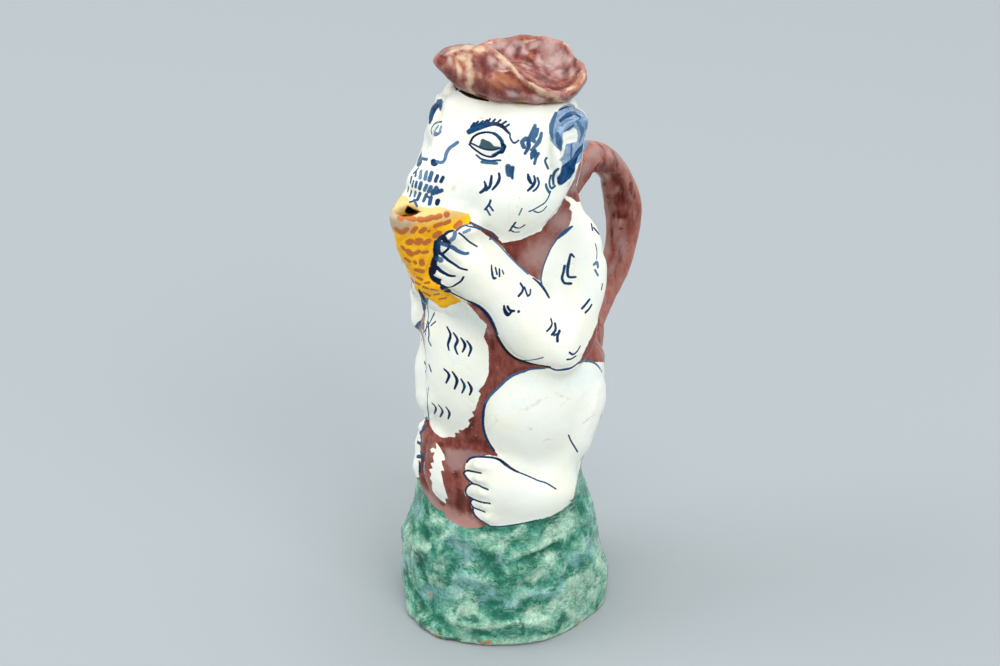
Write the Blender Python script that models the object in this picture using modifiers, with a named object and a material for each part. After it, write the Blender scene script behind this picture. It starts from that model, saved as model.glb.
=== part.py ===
"""A glazed earthenware ewer shaped as a seated monkey, with a loose hat for a lid.

The monkey squats on a rocky mound and drinks from a pointed yellow basket, which is the spout.
The front of the figure is towards -Y, its left side is +X, and the foot stands on z = 0.
"""

import math

import bmesh
import bpy
from mathutils import Euler, Matrix, Vector, noise

# Sizes of the figure, in metres
FIGURE_HEIGHT = 0.244  # foot to the middle of the head's rim
MOUND_HEIGHT = 0.055
FOOT_DIAMETER = 0.092
WALL = 0.0045
FLOOR = 0.007

# Sizes of the handle
HANDLE_WIDTH = 0.014
HANDLE_THICKNESS = 0.0115

# Sizes of the openings
MOUTH_DIAMETER = 0.042
RIM_TILT = 11.0  # degrees that the head leans back
SPOUT_BORE = 0.009

# Sizes of the hat
SEAT_GAP = 0.0003
FLANGE_DEPTH = 0.0055
FLANGE_ROOT = 0.0015
FLANGE_WALL = 0.0032
FLANGE_CLEARANCE = 0.0010

# How finely the clay is worked
CLAY_VOXEL = 0.0015
CLAY_RUBS = 4
BODY_RUBS = 10
FACE_RUBS = 16
EWER_TRIANGLES = 6200
HAT_TRIANGLES = 1250
SPOUT_TRIANGLES = 600
RING_SIDES = 40
BORE_SIDES = 36
CHAMBER_SIDES = 28

# The free forms are laid out on a grid of 244 steps to the figure's height
STEP = FIGURE_HEIGHT / 244

# Trunk without limbs: height, half width, reach to the front and reach to the back
TRUNK = (
    (30, 36, 36, 36),
    (55, 35.5, 37.5, 34),
    (75, 34, 36, 36),
    (100, 34, 34, 38),
    (125, 34, 34, 39),
    (150, 33, 34, 38),
    (175, 32, 32, 36),
    (192, 31, 30, 33),
    (208, 31, 28, 32),
    (222, 29, 26, 31),
)

# Skull, measured along the leaning axis from the rim: level, half width, front and back
SKULL = (
    (-40, 32, 32, 30),
    (-30, 33, 32, 31),
    (-20, 33, 31, 31),
    (-12, 32, 30, 31),
    (-6, 30, 29, 29),
    (-2, 27, 27, 27),
    (0, 25.5, 25.5, 25.5),
    (4, 24, 24, 24),
)
RIM_CENTRE = (0, 5, 244)

# Rocky mound: share of its height, then half width, front and back as shares of the foot's radius
MOUND = (
    (0.0, 0.985, 0.995, 1.0),
    (0.2, 0.99, 1.0, 1.01),
    (0.4, 0.975, 0.985, 0.945),
    (0.6, 0.94, 0.965, 0.84),
    (0.75, 0.90, 0.935, 0.81),
    (0.9, 0.86, 0.905, 0.77),
    (1.0, 0.79, 0.84, 0.69),
)

# Rings of the hat, from the middle of its underside over the brim and down into its hollow.
# Each runs from the back round one side to the peak: sideways, backwards and height over the seat
HAT_RINGS = (
    (
        (0, 25.5, -2), (18, 18, -2), (25.5, 0, -2), (23.5, -9.8, -2),
        (19.5, -16.4, -2), (9.8, -23.5, -2), (0, -25.5, -2),
    ),
    (
        (0, 25.8, 0.6), (18.2, 18.2, 0.6), (25.8, 0, 0.6), (24, -10, 0.6),
        (20, -17, 0.6), (10.5, -25, 0.6), (0, -27.5, 0.6),
    ),
    (
        (0, 27.5, 3.5), (19.5, 19.5, 3), (27.5, 0, 2), (26.5, -10, 2),
        (22.5, -20, 2.5), (12, -31, 3.5), (0, -37, 3),
    ),
    (
        (0, 29.8, 10.4), (21, 21, 7.8), (29.3, 1, 4), (28.3, -10, 4.5),
        (22.5, -22, 8), (10, -37, 11), (0, -47, 10),
    ),
    (
        (0, 30.4, 16.2), (21.2, 21.2, 12), (29.8, 2, 5.5), (28, -9, 7),
        (19, -19, 14), (3.5, -25, 19.5), (0.3, -51.5, 18.5),
    ),
    (
        (0, 28.2, 16), (19.8, 19.8, 11.8), (27.6, 2, 5.6), (25.8, -8, 7),
        (16.5, -16.5, 13.5), (2, -23, 18.5), (0.2, -41, 20),
    ),
    (
        (0, 25.5, 8.8), (18, 18, 7.2), (25, 1.5, 4.2), (23.5, -7, 4.8),
        (14.5, -14.5, 8), (1.8, -20.5, 12), (0.1, -23, 14),
    ),
    (
        (0, 21, 4.6), (14.8, 14.8, 4), (20.5, 1, 3.2), (19, -6, 3.3),
        (11, -12, 4.2), (1.5, -17, 6), (0, -18, 7),
    ),
    (
        (0, 13, 6.2), (9.2, 9.2, 5.8), (13, 1, 5), (12, -4, 5),
        (7, -8, 5.6), (1, -11, 6.4), (0, -11.5, 6.6),
    ),
)


def spot(x, y, z):
    """A place on the layout grid."""
    return Vector((x, y, z)) * STEP


def head_place():
    """The leaning frame of the head: its origin is the middle of the rim and its +Z leans back."""
    return Matrix.Translation(spot(*RIM_CENTRE)) @ Matrix.Rotation(-math.radians(RIM_TILT), 4, "X")


def finished(bm, name, collection):
    """Makes a named object of a bmesh, with its faces pointing out."""
    bmesh.ops.recalc_face_normals(bm, faces=bm.faces)
    mesh = bpy.data.meshes.new(name)
    bm.to_mesh(mesh)
    bm.free()
    obj = bpy.data.objects.new(name, mesh)
    collection.objects.link(obj)
    return obj


def baked(obj):
    """Applies an object's modifiers, or turns a curve into a mesh."""
    bpy.context.view_layer.update()
    graph = bpy.context.evaluated_depsgraph_get()
    mesh = bpy.data.meshes.new_from_object(obj.evaluated_get(graph))
    name = obj.name
    home = obj.users_collection[0]
    bpy.data.objects.remove(obj)
    made = bpy.data.objects.new(name, mesh)
    home.objects.link(made)
    return made


def between(stops, share):
    """A smooth curve through stops of several numbers each, read at a share of its run."""
    last = len(stops) - 1
    at = min(max(share, 0.0), 1.0) * last
    i = min(int(at), last - 1)
    t = at - i
    near = [stops[min(max(i + k, 0), last)] for k in (-1, 0, 1, 2)]
    return [
        0.5 * (2 * b + (c - a) * t + (2 * a - 5 * b + 4 * c - d) * t * t + (3 * b - a - 3 * c + d) * t**3)
        for a, b, c, d in zip(*near)
    ]


def at_level(stations, level):
    """The numbers of a list of stations at a level, all in steps."""
    levels = [stop[0] for stop in stations]
    level = min(max(level, levels[0]), levels[-1])
    i = max(k for k in range(len(levels) - 1) if levels[k] <= level)
    share = (i + (level - levels[i]) / (levels[i + 1] - levels[i])) / (len(levels) - 1)
    return between(stations, share)[1:]


def ball(clay, centre, radii, lean=(0, 0, 0)):
    """Adds a ball of clay, squeezed to three radii in steps and leant by degrees about X, Y and Z."""
    turn = Euler([math.radians(a) for a in lean]).to_matrix().to_4x4()
    squeeze = Matrix.Diagonal((*(Vector(radii) * STEP), 1))
    lump = bmesh.new()
    bmesh.ops.create_uvsphere(lump, u_segments=28, v_segments=14, radius=1)
    bmesh.ops.transform(lump, matrix=Matrix.Translation(spot(*centre)) @ turn @ squeeze, verts=lump.verts)
    mesh = bpy.data.meshes.new("lump")
    lump.to_mesh(mesh)
    lump.free()
    clay.from_mesh(mesh)
    bpy.data.meshes.remove(mesh)


def roll(clay, stops, rounds=20):
    """Adds a roll of clay through stops of x, y, z and radius in steps, with a ball at each end."""
    curve = bpy.data.curves.new("roll", "CURVE")
    curve.dimensions = "3D"
    curve.bevel_depth = 1
    curve.bevel_resolution = 4
    curve.use_fill_caps = True
    line = curve.splines.new("POLY")
    line.points.add(rounds)
    for k, point in enumerate(line.points):
        x, y, z, radius = between(stops, k / rounds)
        point.co = (*spot(x, y, z), 1)
        point.radius = radius * STEP
    obj = bpy.data.objects.new("roll", curve)
    bpy.context.scene.collection.objects.link(obj)
    obj = baked(obj)
    clay.from_mesh(obj.data)
    bpy.data.objects.remove(obj)
    for x, y, z, radius in (stops[0], stops[-1]):
        ball(clay, (x, y, z), (radius, radius, radius))


def skin(clay, rings):
    """Joins rings of points into one closed surface, with a cap at each end."""
    for low, high in zip(rings, rings[1:]):
        for k in range(len(low)):
            m = (k + 1) % len(low)
            clay.faces.new((low[k], low[m], high[m], high[k]))
    clay.faces.new(rings[0])
    clay.faces.new(rings[-1])


def loft(clay, stations, inset, bottom, top, place=Matrix(), layers=24, sides=RING_SIDES):
    """Adds a loft through stations, between two levels in steps, shrunk all round by an inset."""
    rings = []
    for layer in range(layers + 1):
        level = bottom + (top - bottom) * layer / layers
        half_width, front, back = at_level(stations, level)
        ring = []
        for k in range(sides):
            angle = 2 * math.pi * k / sides
            reach = back if math.sin(angle) > 0 else front
            x = (half_width * STEP - inset) * math.cos(angle)
            y = (reach * STEP - inset) * math.sin(angle)
            ring.append(clay.verts.new(place @ Vector((x, y, level * STEP))))
        rings.append(ring)
    skin(clay, rings)


def mound(clay):
    """Adds the rocky mound: a low cone with rough sides and a few boulders."""
    layers = 18
    sides = RING_SIDES * 2
    rings = []
    for layer in range(layers + 1):
        share = layer / layers
        height = (MOUND_HEIGHT + WALL) * share - WALL
        shares = at_level(MOUND, height / MOUND_HEIGHT)
        half_width, front, back = (value * FOOT_DIAMETER / 2 for value in shares)
        ring = []
        for k in range(sides):
            angle = 2 * math.pi * k / sides
            twist = angle + 0.9 * share
            rough = noise.noise(Vector((math.cos(twist) * 1.9, math.sin(twist) * 1.9, share * 1.6 + 3)))
            bulge = 2.6 * STEP * rough * (1 - share**4)
            reach = back if math.sin(angle) > 0 else front
            x = (half_width + bulge) * math.cos(angle)
            y = (reach + bulge) * math.sin(angle)
            ring.append(clay.verts.new((x, y, height)))
        rings.append(ring)
    skin(clay, rings)
    ball(clay, (30, 23, 9), (9, 9, 9))
    ball(clay, (-12.5, -42, 3), (9, 6.5, 6.5))
    ball(clay, (24, -31, 26), (14, 6, 7), (0, -24, 35))


def body(clay):
    """Adds the trunk with its chest, belly and lap, and the two bent legs."""
    loft(clay, TRUNK, 0, 30, 222)
    ball(clay, (0, -18, 186), (24, 18, 24))
    ball(clay, (0, -12, 123), (24, 28, 44))
    ball(clay, (0, -14, 73), (21, 26.5, 25))
    for side in (-1, 1):
        ball(clay, (19 * side, 3, 109), (21, 34, 33), (-12, 0, 0))
        roll(clay, ((25 * side, 7, 95, 15), (26 * side, 4, 81, 13), (27 * side, 0, 68, 11)))
        ball(clay, (30.5 * side, -5, 66), (9, 14, 10), (-8, 0, -9 * side))
        ball(clay, (27 * side, -15, 69.5), (9.5, 16, 13), (-10, 0, -29 * side))
        ball(clay, (21 * side, -24, 74), (9.5, 13, 16), (-4, 0, -49 * side))


def toes(clay, side):
    """Adds the five toes, one above the other at the front of the foot."""
    for toe in range(5):
        height = 87 - 6.5 * toe
        angle = math.radians(25 + 1.6 * toe)
        start = (33 * math.sin(angle + 0.3) * side, -33 * math.cos(angle + 0.3), height - 1.5, 4.6)
        tip = (36.8 * math.sin(angle) * side, -36.8 * math.cos(angle), height, 3.4)
        roll(clay, (start, tip), rounds=4)


def arm(clay, side):
    """Adds an arm: shoulder, elbow, forearm and the hand on the basket with its fingers."""
    upper = (
        (23, 9, 203, 10),
        (28, 12, 190, 11.5),
        (30, 12, 175, 12),
        (31.5, 10, 160, 12.5),
        (33, 3, 147, 13),
        (33, -3, 139, 13),
    )
    fore = (
        (33, -3, 139, 13),
        (26, -12, 147, 13.5),
        (20, -20, 158, 13.5),
        (16.5, -28, 170, 12.5),
        (14.5, -34, 180, 11),
        (13, -38, 186, 9.5),
    )
    roll(clay, [(x * side, y, z, r) for x, y, z, r in upper])
    roll(clay, [(x * side, y, z, r) for x, y, z, r in fore])
    for finger in range(5):
        low = finger / 4
        height = 201 - 22 * low
        stops = (
            (14.5 - 3 * low, -36 + low, height + 1, 4.2),
            (14.5 - 3.5 * low, -42, height, 3.9),
            (11.5 - 3 * low, -46 - 1.5 * low, height - 1.5, 3.4),
            (8.5 - 3 * low, -48 - 1.5 * low, height - 2.5, 2.8),
        )
        roll(clay, [(x * side, y, z, r) for x, y, z, r in stops], rounds=8)


def ear(clay, x, y, z):
    """Adds an ear: a thin shell with a rolled rim that runs round from the lobe to the front of the top."""
    side = math.copysign(1, x)
    ball(clay, (x, y, z), (3, 7, 15.5), (-9, 0, 5 * side))
    rim = []
    for k in range(9):
        angle = math.radians(-95 + 255 * k / 8)
        reach, rise = 7.5 * math.cos(angle), 16 * math.sin(angle)
        rim.append((x + side * (1.6 + 0.06 * reach), y + reach + 0.15 * rise, z + rise, 2.3))
    roll(clay, rim, rounds=24)


def face(clay):
    """Adds the skull, jaw, muzzle and nose over the top of the trunk."""
    loft(clay, SKULL, 0, -40, 4, head_place())
    ball(clay, (0, -8, 211), (36, 30, 26), (25, 0, 0))
    ball(clay, (0, -15, 228), (25, 19, 20))
    ball(clay, (0, -30, 219), (16, 22, 14.5), (18, 0, 0))
    roll(clay, ((0, -17, 246, 9), (0, -25, 239, 9), (0, -34, 231, 7.5)))
    for side in (-1, 1):
        ball(clay, (5.5 * side, -39, 228), (4.5, 5.5, 4.5))


def basket(clay):
    """Adds the pointed basket with its pouring lip, from the chest up to the mouth."""
    stations = (
        (156, 4, -33, -40),
        (160, 8, -29, -46),
        (168, 11, -27, -52),
        (180, 14.5, -27, -58),
        (192, 17, -27, -62),
        (202, 18.5, -27, -65),
        (208, 19.5, -27, -67.5),
        (212, 20, -27, -68.5),
    )
    rings = []
    for layer in range(17):
        level = 156 + 56 * layer / 16
        half_width, back, front = at_level(stations, level)
        ring = []
        for k in range(RING_SIDES):
            angle = 2 * math.pi * k / RING_SIDES
            forward = (1 + math.cos(angle)) / 2
            x = half_width * math.sin(angle) * (1 - 0.65 * forward)
            y = back + (front - back) * forward
            ring.append(clay.verts.new(spot(x, y, level)))
        rings.append(ring)
    skin(clay, rings)


def handle(clay):
    """Adds the strap handle, from the nape up and round to the back, wider than it is thick."""
    radius = HANDLE_THICKNESS / 2 / STEP
    strap = bmesh.new()
    roll(
        strap,
        (
            (0, 27, 190, radius * 1.45),
            (0, 44, 195, radius * 1.25),
            (0, 58, 193.5, radius * 1.05),
            (0, 69.5, 185, radius),
            (0, 77, 172, radius),
            (0, 79.5, 158, radius),
            (0, 77.5, 145, radius),
            (0, 72, 131, radius),
            (0, 63.5, 116, radius),
            (0, 52, 101, radius * 1.15),
            (0, 38, 88, radius * 1.4),
        ),
        rounds=40,
    )
    widen = Matrix.Diagonal((HANDLE_WIDTH / HANDLE_THICKNESS, 1, 1, 1))
    bmesh.ops.transform(strap, matrix=widen, verts=strap.verts)
    mesh = bpy.data.meshes.new("strap")
    strap.to_mesh(mesh)
    strap.free()
    clay.from_mesh(mesh)
    bpy.data.meshes.remove(mesh)


def pressed(obj, rubs, triangles_wanted=None):
    """Fuses overlapping lumps into one skin, rubs it smooth and may simplify it to a count of triangles."""
    press = obj.modifiers.new("press", "REMESH")
    press.mode = "VOXEL"
    press.voxel_size = CLAY_VOXEL
    rub = obj.modifiers.new("rub", "SMOOTH")
    rub.factor = 0.5
    rub.iterations = rubs
    obj = baked(obj)
    if not triangles_wanted:
        return obj
    triangles = sum(len(face.vertices) - 2 for face in obj.data.polygons)
    thin = obj.modifiers.new("thin", "DECIMATE")
    thin.ratio = min(1.0, triangles_wanted / triangles)
    return baked(obj)


def cut(obj, cutter, operation="DIFFERENCE"):
    """Cuts an object exactly by a cutter, or joins the two."""
    blade = obj.modifiers.new(operation.lower(), "BOOLEAN")
    blade.operation = operation
    blade.solver = "EXACT"
    blade.object = cutter
    return baked(obj)


def hidden(obj):
    """Keeps a cutter out of renders."""
    obj.hide_render = True
    obj.display_type = "WIRE"
    return obj


def slab(name, bottom, top, collection, place=Matrix()):
    """A wide block between two heights, in metres, as a cutter."""
    bm = bmesh.new()
    middle = Matrix.Translation((0, 0, (bottom + top) / 2))
    size = Matrix.Diagonal((FIGURE_HEIGHT, FIGURE_HEIGHT, top - bottom, 1))
    bmesh.ops.create_cube(bm, size=1, matrix=place @ middle @ size)
    return hidden(finished(bm, name, collection))


def chamber(collection):
    """The hollow of the mound and the trunk, one wall inside their outer forms, as a cutter."""
    bm = bmesh.new()
    layers = 15
    low, high = FLOOR, TRUNK[-1][0] * STEP - WALL
    rings = []
    for layer in range(layers + 1):
        height = low + (high - low) * layer / layers
        share = height / MOUND_HEIGHT
        mix = min(max((share - 0.55) / 0.4, 0), 1)
        rough = 1.5 * STEP
        in_mound = [value * FOOT_DIAMETER / 2 - rough - WALL for value in at_level(MOUND, share)]
        in_trunk = [value * STEP - WALL for value in at_level(TRUNK, height / STEP)]
        half_width, front, back = (a * (1 - mix) + b * mix for a, b in zip(in_mound, in_trunk))
        ring = []
        for k in range(CHAMBER_SIDES):
            angle = 2 * math.pi * k / CHAMBER_SIDES
            reach = back if math.sin(angle) > 0 else front
            ring.append(bm.verts.new((half_width * math.cos(angle), reach * math.sin(angle), height)))
        rings.append(ring)
    skin(bm, rings)
    return hidden(finished(bm, "cut_chamber", collection))


def skull_hollow(collection):
    """The hollow of the head, one wall inside the skull up to the lip at its rim, as a cutter."""
    bm = bmesh.new()
    loft(bm, SKULL, WALL, -38, -3, head_place(), layers=7, sides=CHAMBER_SIDES)
    return hidden(finished(bm, "cut_skull", collection))


def mouth_bore(collection):
    """The round mouth in the top of the head, as a cutter."""
    bm = bmesh.new()
    radius = MOUTH_DIAMETER / 2
    bmesh.ops.create_cone(
        bm,
        cap_ends=True,
        segments=BORE_SIDES,
        radius1=radius,
        radius2=radius,
        depth=MOUTH_DIAMETER,
        matrix=head_place(),
    )
    return hidden(finished(bm, "cut_mouth", collection))


def spout_passage(collection):
    """The way from the pouring lip down through the basket to the hollow of the chest, as a cutter."""
    radius = SPOUT_BORE / 2 / STEP
    clay = bmesh.new()
    roll(
        clay,
        (
            (0, -57.5, 218, radius),
            (0, -57.5, 208, radius * 1.1),
            (0, -51.5, 198, radius * 1.4),
            (0, -40, 187, radius * 1.4),
            (0, -28, 178, radius * 1.1),
            (0, -16, 170, radius),
        ),
        rounds=14,
    )
    return hidden(pressed(finished(clay, "cut_spout", collection), CLAY_RUBS, SPOUT_TRIANGLES))


def ewer(parts, cutters):
    """The monkey with its basket, handle and mound: pressed solid, then hollowed."""
    clay = bmesh.new()
    for name, shape, rubs in (("body", body, BODY_RUBS), ("face", face, FACE_RUBS)):
        soft = bmesh.new()
        shape(soft)
        soft = pressed(finished(soft, name, parts), rubs)
        clay.from_mesh(soft.data)
        bpy.data.objects.remove(soft)
    mound(clay)
    basket(clay)
    handle(clay)
    ear(clay, 33.5, -0.5, 232)
    ear(clay, -33, 6.5, 231)
    for side in (-1, 1):
        toes(clay, side)
        arm(clay, side)
    obj = pressed(finished(clay, "ewer", parts), CLAY_RUBS, EWER_TRIANGLES)
    obj = cut(obj, slab("cut_foot", -FOOT_DIAMETER, 0, cutters))
    obj = cut(obj, slab("cut_rim", 0, MOUTH_DIAMETER, cutters, head_place()))
    for blade in (chamber, skull_hollow, mouth_bore, spout_passage):
        obj = cut(obj, blade(cutters))
    return obj


def flange(collection, place):
    """The turned ring under the hat that drops into the mouth, to be joined to the hat."""
    bm = bmesh.new()
    outer = MOUTH_DIAMETER / 2 - FLANGE_CLEARANCE
    inner = outer - FLANGE_WALL
    corners = ((inner, FLANGE_ROOT), (outer, FLANGE_ROOT), (outer, -FLANGE_DEPTH), (inner, -FLANGE_DEPTH))
    points = [bm.verts.new((radius, 0, height)) for radius, height in corners]
    for k in range(4):
        bm.edges.new((points[k], points[(k + 1) % 4]))
    ring = finished(bm, "join_flange", collection)
    turn = ring.modifiers.new("turn", "SCREW")
    turn.steps = turn.render_steps = BORE_SIDES
    turn.use_merge_vertices = True
    turn.merge_threshold = 0.00001
    ring = baked(ring)
    ring.data.transform(place)
    return hidden(ring)


def hat(parts, cutters):
    """The loose hat: a dish with a turned-up brim pinched into a peak, and a flange below it."""
    place = head_place() @ Matrix.Translation((0, 0, SEAT_GAP))
    clay = bmesh.new()
    rings = []
    rounds = 20
    for stops in HAT_RINGS:
        left = [between(stops, k / rounds) for k in range(rounds + 1)]
        right = [(-x, y, z) for x, y, z in left[-2:0:-1]]
        rings.append([clay.verts.new(place @ spot(*point)) for point in left + right])
    skin(clay, rings)
    obj = pressed(finished(clay, "hat_lid", parts), CLAY_RUBS, HAT_TRIANGLES)
    obj = cut(obj, slab("cut_seat", -MOUTH_DIAMETER, 0, cutters, place))
    return cut(obj, flange(cutters, place), "UNION")


def glaze(obj, colour, roughness):
    """Gives an object its own material."""
    material = bpy.data.materials.new(obj.name)
    material.use_nodes = True
    shader = material.node_tree.nodes["Principled BSDF"]
    shader.inputs["Base Color"].default_value = (*colour, 1)
    shader.inputs["Roughness"].default_value = roughness
    shader.inputs["Metallic"].default_value = 0.0
    obj.data.materials.clear()
    obj.data.materials.append(material)


def main():
    for obj in list(bpy.data.objects):
        bpy.data.objects.remove(obj)
    parts = bpy.data.collections.new("monkey_ewer")
    cutters = bpy.data.collections.new("cutters")
    for collection in (parts, cutters):
        bpy.context.scene.collection.children.link(collection)
    glaze(ewer(parts, cutters), (0.78, 0.80, 0.74), 0.15)
    glaze(hat(parts, cutters), (0.26, 0.09, 0.07), 0.2)


main()
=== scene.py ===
import math

import bmesh
import bpy
import numpy as np
from mathutils import Euler, Matrix, Vector, noise
from mathutils.bvhtree import BVHTree
from mathutils.kdtree import KDTree


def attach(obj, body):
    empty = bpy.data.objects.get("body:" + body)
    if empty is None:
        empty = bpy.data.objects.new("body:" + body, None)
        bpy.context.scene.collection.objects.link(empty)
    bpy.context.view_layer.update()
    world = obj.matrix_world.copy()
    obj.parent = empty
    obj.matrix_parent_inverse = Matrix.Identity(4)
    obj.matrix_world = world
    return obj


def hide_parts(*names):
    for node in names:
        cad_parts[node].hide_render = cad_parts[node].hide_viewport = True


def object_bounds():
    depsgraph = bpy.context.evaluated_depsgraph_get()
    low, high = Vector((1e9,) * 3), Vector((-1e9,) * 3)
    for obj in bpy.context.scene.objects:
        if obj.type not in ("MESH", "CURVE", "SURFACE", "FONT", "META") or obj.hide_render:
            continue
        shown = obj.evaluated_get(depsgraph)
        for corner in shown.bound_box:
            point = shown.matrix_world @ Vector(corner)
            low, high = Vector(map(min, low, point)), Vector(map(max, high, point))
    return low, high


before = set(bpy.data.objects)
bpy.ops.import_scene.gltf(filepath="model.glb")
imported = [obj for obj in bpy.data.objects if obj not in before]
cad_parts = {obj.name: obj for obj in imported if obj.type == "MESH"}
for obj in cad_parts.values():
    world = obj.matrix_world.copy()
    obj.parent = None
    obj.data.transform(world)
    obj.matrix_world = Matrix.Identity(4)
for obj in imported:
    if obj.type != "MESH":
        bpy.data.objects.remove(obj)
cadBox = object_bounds()
print("frame loaded")

# camera of the photograph: lengths in metres, angles in degrees, pixels of a 1000 x 666 picture
photo = {
    "width": 1000,
    "focal": 2330.0,  # in pixels
    "middle": (505.0, 333.0),  # the column of the ewer's axis and the middle row
    "distance": 0.857,
    "height": 0.6296,
    "turn": 42.0,  # from the front towards the figure's left
    "down": 30.2,
    "sensor": 36.0,  # in millimetres
    "pixel": 0.426,  # millimetres of the ewer across one pixel
}

# a pale floor that runs past the picture, and big soft lamps given as place, width and power
studio = {
    "floorSize": 4,
    "floorColour": (0.335, 0.368, 0.392, 1),
    "floorRoughness": 0.7,
    "floorShine": 0.2,
    "sky": (0.97, 0.985, 0.965, 1),
    "skyStrength": 0.92,
    "aim": (0, 0, 0.13),
    "lamps": {
        "softLeft": ((-1.7, -1.5, 2.1), 1.6, 28),
        "softRight": ((2.2, -0.5, 2.0), 1.6, 30),
        "softTop": ((0.1, 0.2, 3.0), 2.0, 38),
    },
}

# how the clay is held while it is drawn out, in metres
hold = {
    "slides": (0.001, 0.03),  # between these heights it changes from sliding over the ground to rising
    "spare": 0.0004,  # kept free inside the CAD box
    "ease": 0.0035,  # over which it is eased in
}


def photoAxes():
    turn, down = math.radians(photo["turn"]), math.radians(photo["down"])
    back = Vector((math.sin(turn), -math.cos(turn), 0))
    eye = back * photo["distance"] + Vector((0, 0, photo["height"]))
    ahead = -back * math.cos(down) - Vector((0, 0, math.sin(down)))
    right = Vector((math.cos(turn), math.sin(turn), 0))
    return eye, right, right.cross(ahead), ahead


def makeCamera():
    eye, right, up, ahead = photoAxes()
    lens = bpy.data.cameras.new("photoCamera")
    lens.sensor_width = photo["sensor"]
    lens.lens = photo["sensor"] * photo["focal"] / photo["width"]
    lens.shift_x = (photo["width"] / 2 - photo["middle"][0]) / photo["width"]
    camera = bpy.data.objects.new("photoCamera", lens)
    bpy.context.scene.collection.objects.link(camera)
    turned = Matrix((right, up, -ahead)).transposed().to_4x4()
    camera.matrix_world = Matrix.Translation(eye) @ turned
    bpy.context.scene.camera = camera
    bpy.context.scene.view_settings.view_transform = "Standard"


def makeStudio():
    bm = bmesh.new()
    bmesh.ops.create_grid(bm, x_segments=2, y_segments=2, size=studio["floorSize"])
    mesh = bpy.data.meshes.new("floor")
    bm.to_mesh(mesh)
    bm.free()
    floor = bpy.data.objects.new("floor", mesh)
    bpy.context.scene.collection.objects.link(floor)
    paint = bpy.data.materials.new("paleFloor")
    paint.use_nodes = True
    shader = paint.node_tree.nodes["Principled BSDF"]
    shader.inputs["Base Color"].default_value = studio["floorColour"]
    shader.inputs["Roughness"].default_value = studio["floorRoughness"]
    shader.inputs["Specular IOR Level"].default_value = studio["floorShine"]
    mesh.materials.append(paint)
    world = bpy.data.worlds.new("studio")
    world.use_nodes = True
    sky = world.node_tree.nodes["Background"]
    sky.inputs["Color"].default_value = studio["sky"]
    sky.inputs["Strength"].default_value = studio["skyStrength"]
    bpy.context.scene.world = world
    for name, (place, width, power) in studio["lamps"].items():
        light = bpy.data.lights.new(name, "AREA")
        light.shape = "SQUARE"
        light.size = width
        light.energy = power
        lamp = bpy.data.objects.new(name, light)
        lamp.location = place
        lamp.rotation_mode = "QUATERNION"
        lamp.rotation_quaternion = (Vector(studio["aim"]) - lamp.location).to_track_quat("-Z", "Y")
        bpy.context.scene.collection.objects.link(lamp)


def project(points, mirrored=False):
    # pixel columns and rows of points, or of their mirror images
    eye, right, up, ahead = (np.array(v) for v in photoAxes())
    seen = points * np.array([-1.0, 1.0, 1.0]) if mirrored else points
    seen = seen - eye
    depth = seen @ ahead
    column = photo["middle"][0] + photo["focal"] * (seen @ right) / depth
    row = photo["middle"][1] - photo["focal"] * (seen @ up) / depth
    return np.stack([column, row], 1)


def castPixel(tree, column, row, mirrored=False, move=Vector((0, 0, 0))):
    # where the ray through a pixel, or the moved mirror image of that ray, meets the clay
    eye, right, up, ahead = photoAxes()
    across = (column - photo["middle"][0]) / photo["focal"]
    rise = (photo["middle"][1] - row) / photo["focal"]
    ray = (ahead + right * across + up * rise).normalized()
    if mirrored:
        eye = Vector((-eye.x, eye.y, eye.z))
        ray = Vector((-ray.x, ray.y, ray.z))
    hit = tree.ray_cast(eye + move, ray)
    return hit[0], hit[1]


def alongCurve(stops, spacing):
    # a smooth run of points through the stops, about so far apart
    line = [Vector(stop) for stop in stops]
    if len(line) == 1:
        line.append(line[0] + Vector([0.3] + [0] * (len(line[0]) - 1)))
    points = [line[0]]
    for i in range(len(line) - 1):
        a, b, c, d = (line[min(max(i + k, 0), len(line) - 1)] for k in (-1, 0, 1, 2))
        rounds = max(2, math.ceil((c - b).length / spacing))
        for k in range(1, rounds + 1):
            t = k / rounds
            bend = (2 * a - 5 * b + 4 * c - d) * t**2 + (3 * b - a - 3 * c + d) * t**3
            points.append(0.5 * (2 * b + (c - a) * t + bend))
    return points


def meshToClay(mesh):
    # the corners of a mesh in metres, and the two corners of each edge
    corners = np.empty(len(mesh.vertices) * 3)
    mesh.vertices.foreach_get("co", corners)
    edgeList = np.empty(len(mesh.edges) * 2, int)
    mesh.edges.foreach_get("vertices", edgeList)
    return corners.reshape(-1, 3), edgeList.reshape(-1, 2)


def normalsOf(mesh):
    mesh.update()
    normals = np.empty(len(mesh.vertices) * 3)
    mesh.vertex_normals.foreach_get("vector", normals)
    return normals.reshape(-1, 3)


def treeOf(mesh):
    return BVHTree.FromPolygons([v.co for v in mesh.vertices], [tuple(p.vertices) for p in mesh.polygons])


def putBack(mesh, corners):
    mesh.vertices.foreach_set("co", corners.ravel())
    mesh.update()


def rubbed(corners, edgeList, rounds, softness):
    # each corner moves towards the middle of its neighbours, as far as its softness lets it
    first, second = edgeList[:, 0], edgeList[:, 1]
    count = np.bincount(edgeList.ravel(), minlength=len(corners))[:, None]
    pull = 0.5 * np.asarray(softness).reshape(-1, 1)
    for _ in range(rounds):
        total = np.zeros_like(corners)
        for axis in range(3):
            total[:, axis] = np.bincount(first, corners[second, axis], len(corners))
            total[:, axis] += np.bincount(second, corners[first, axis], len(corners))
        corners = corners + pull * (total / count - corners)
    return corners


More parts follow.
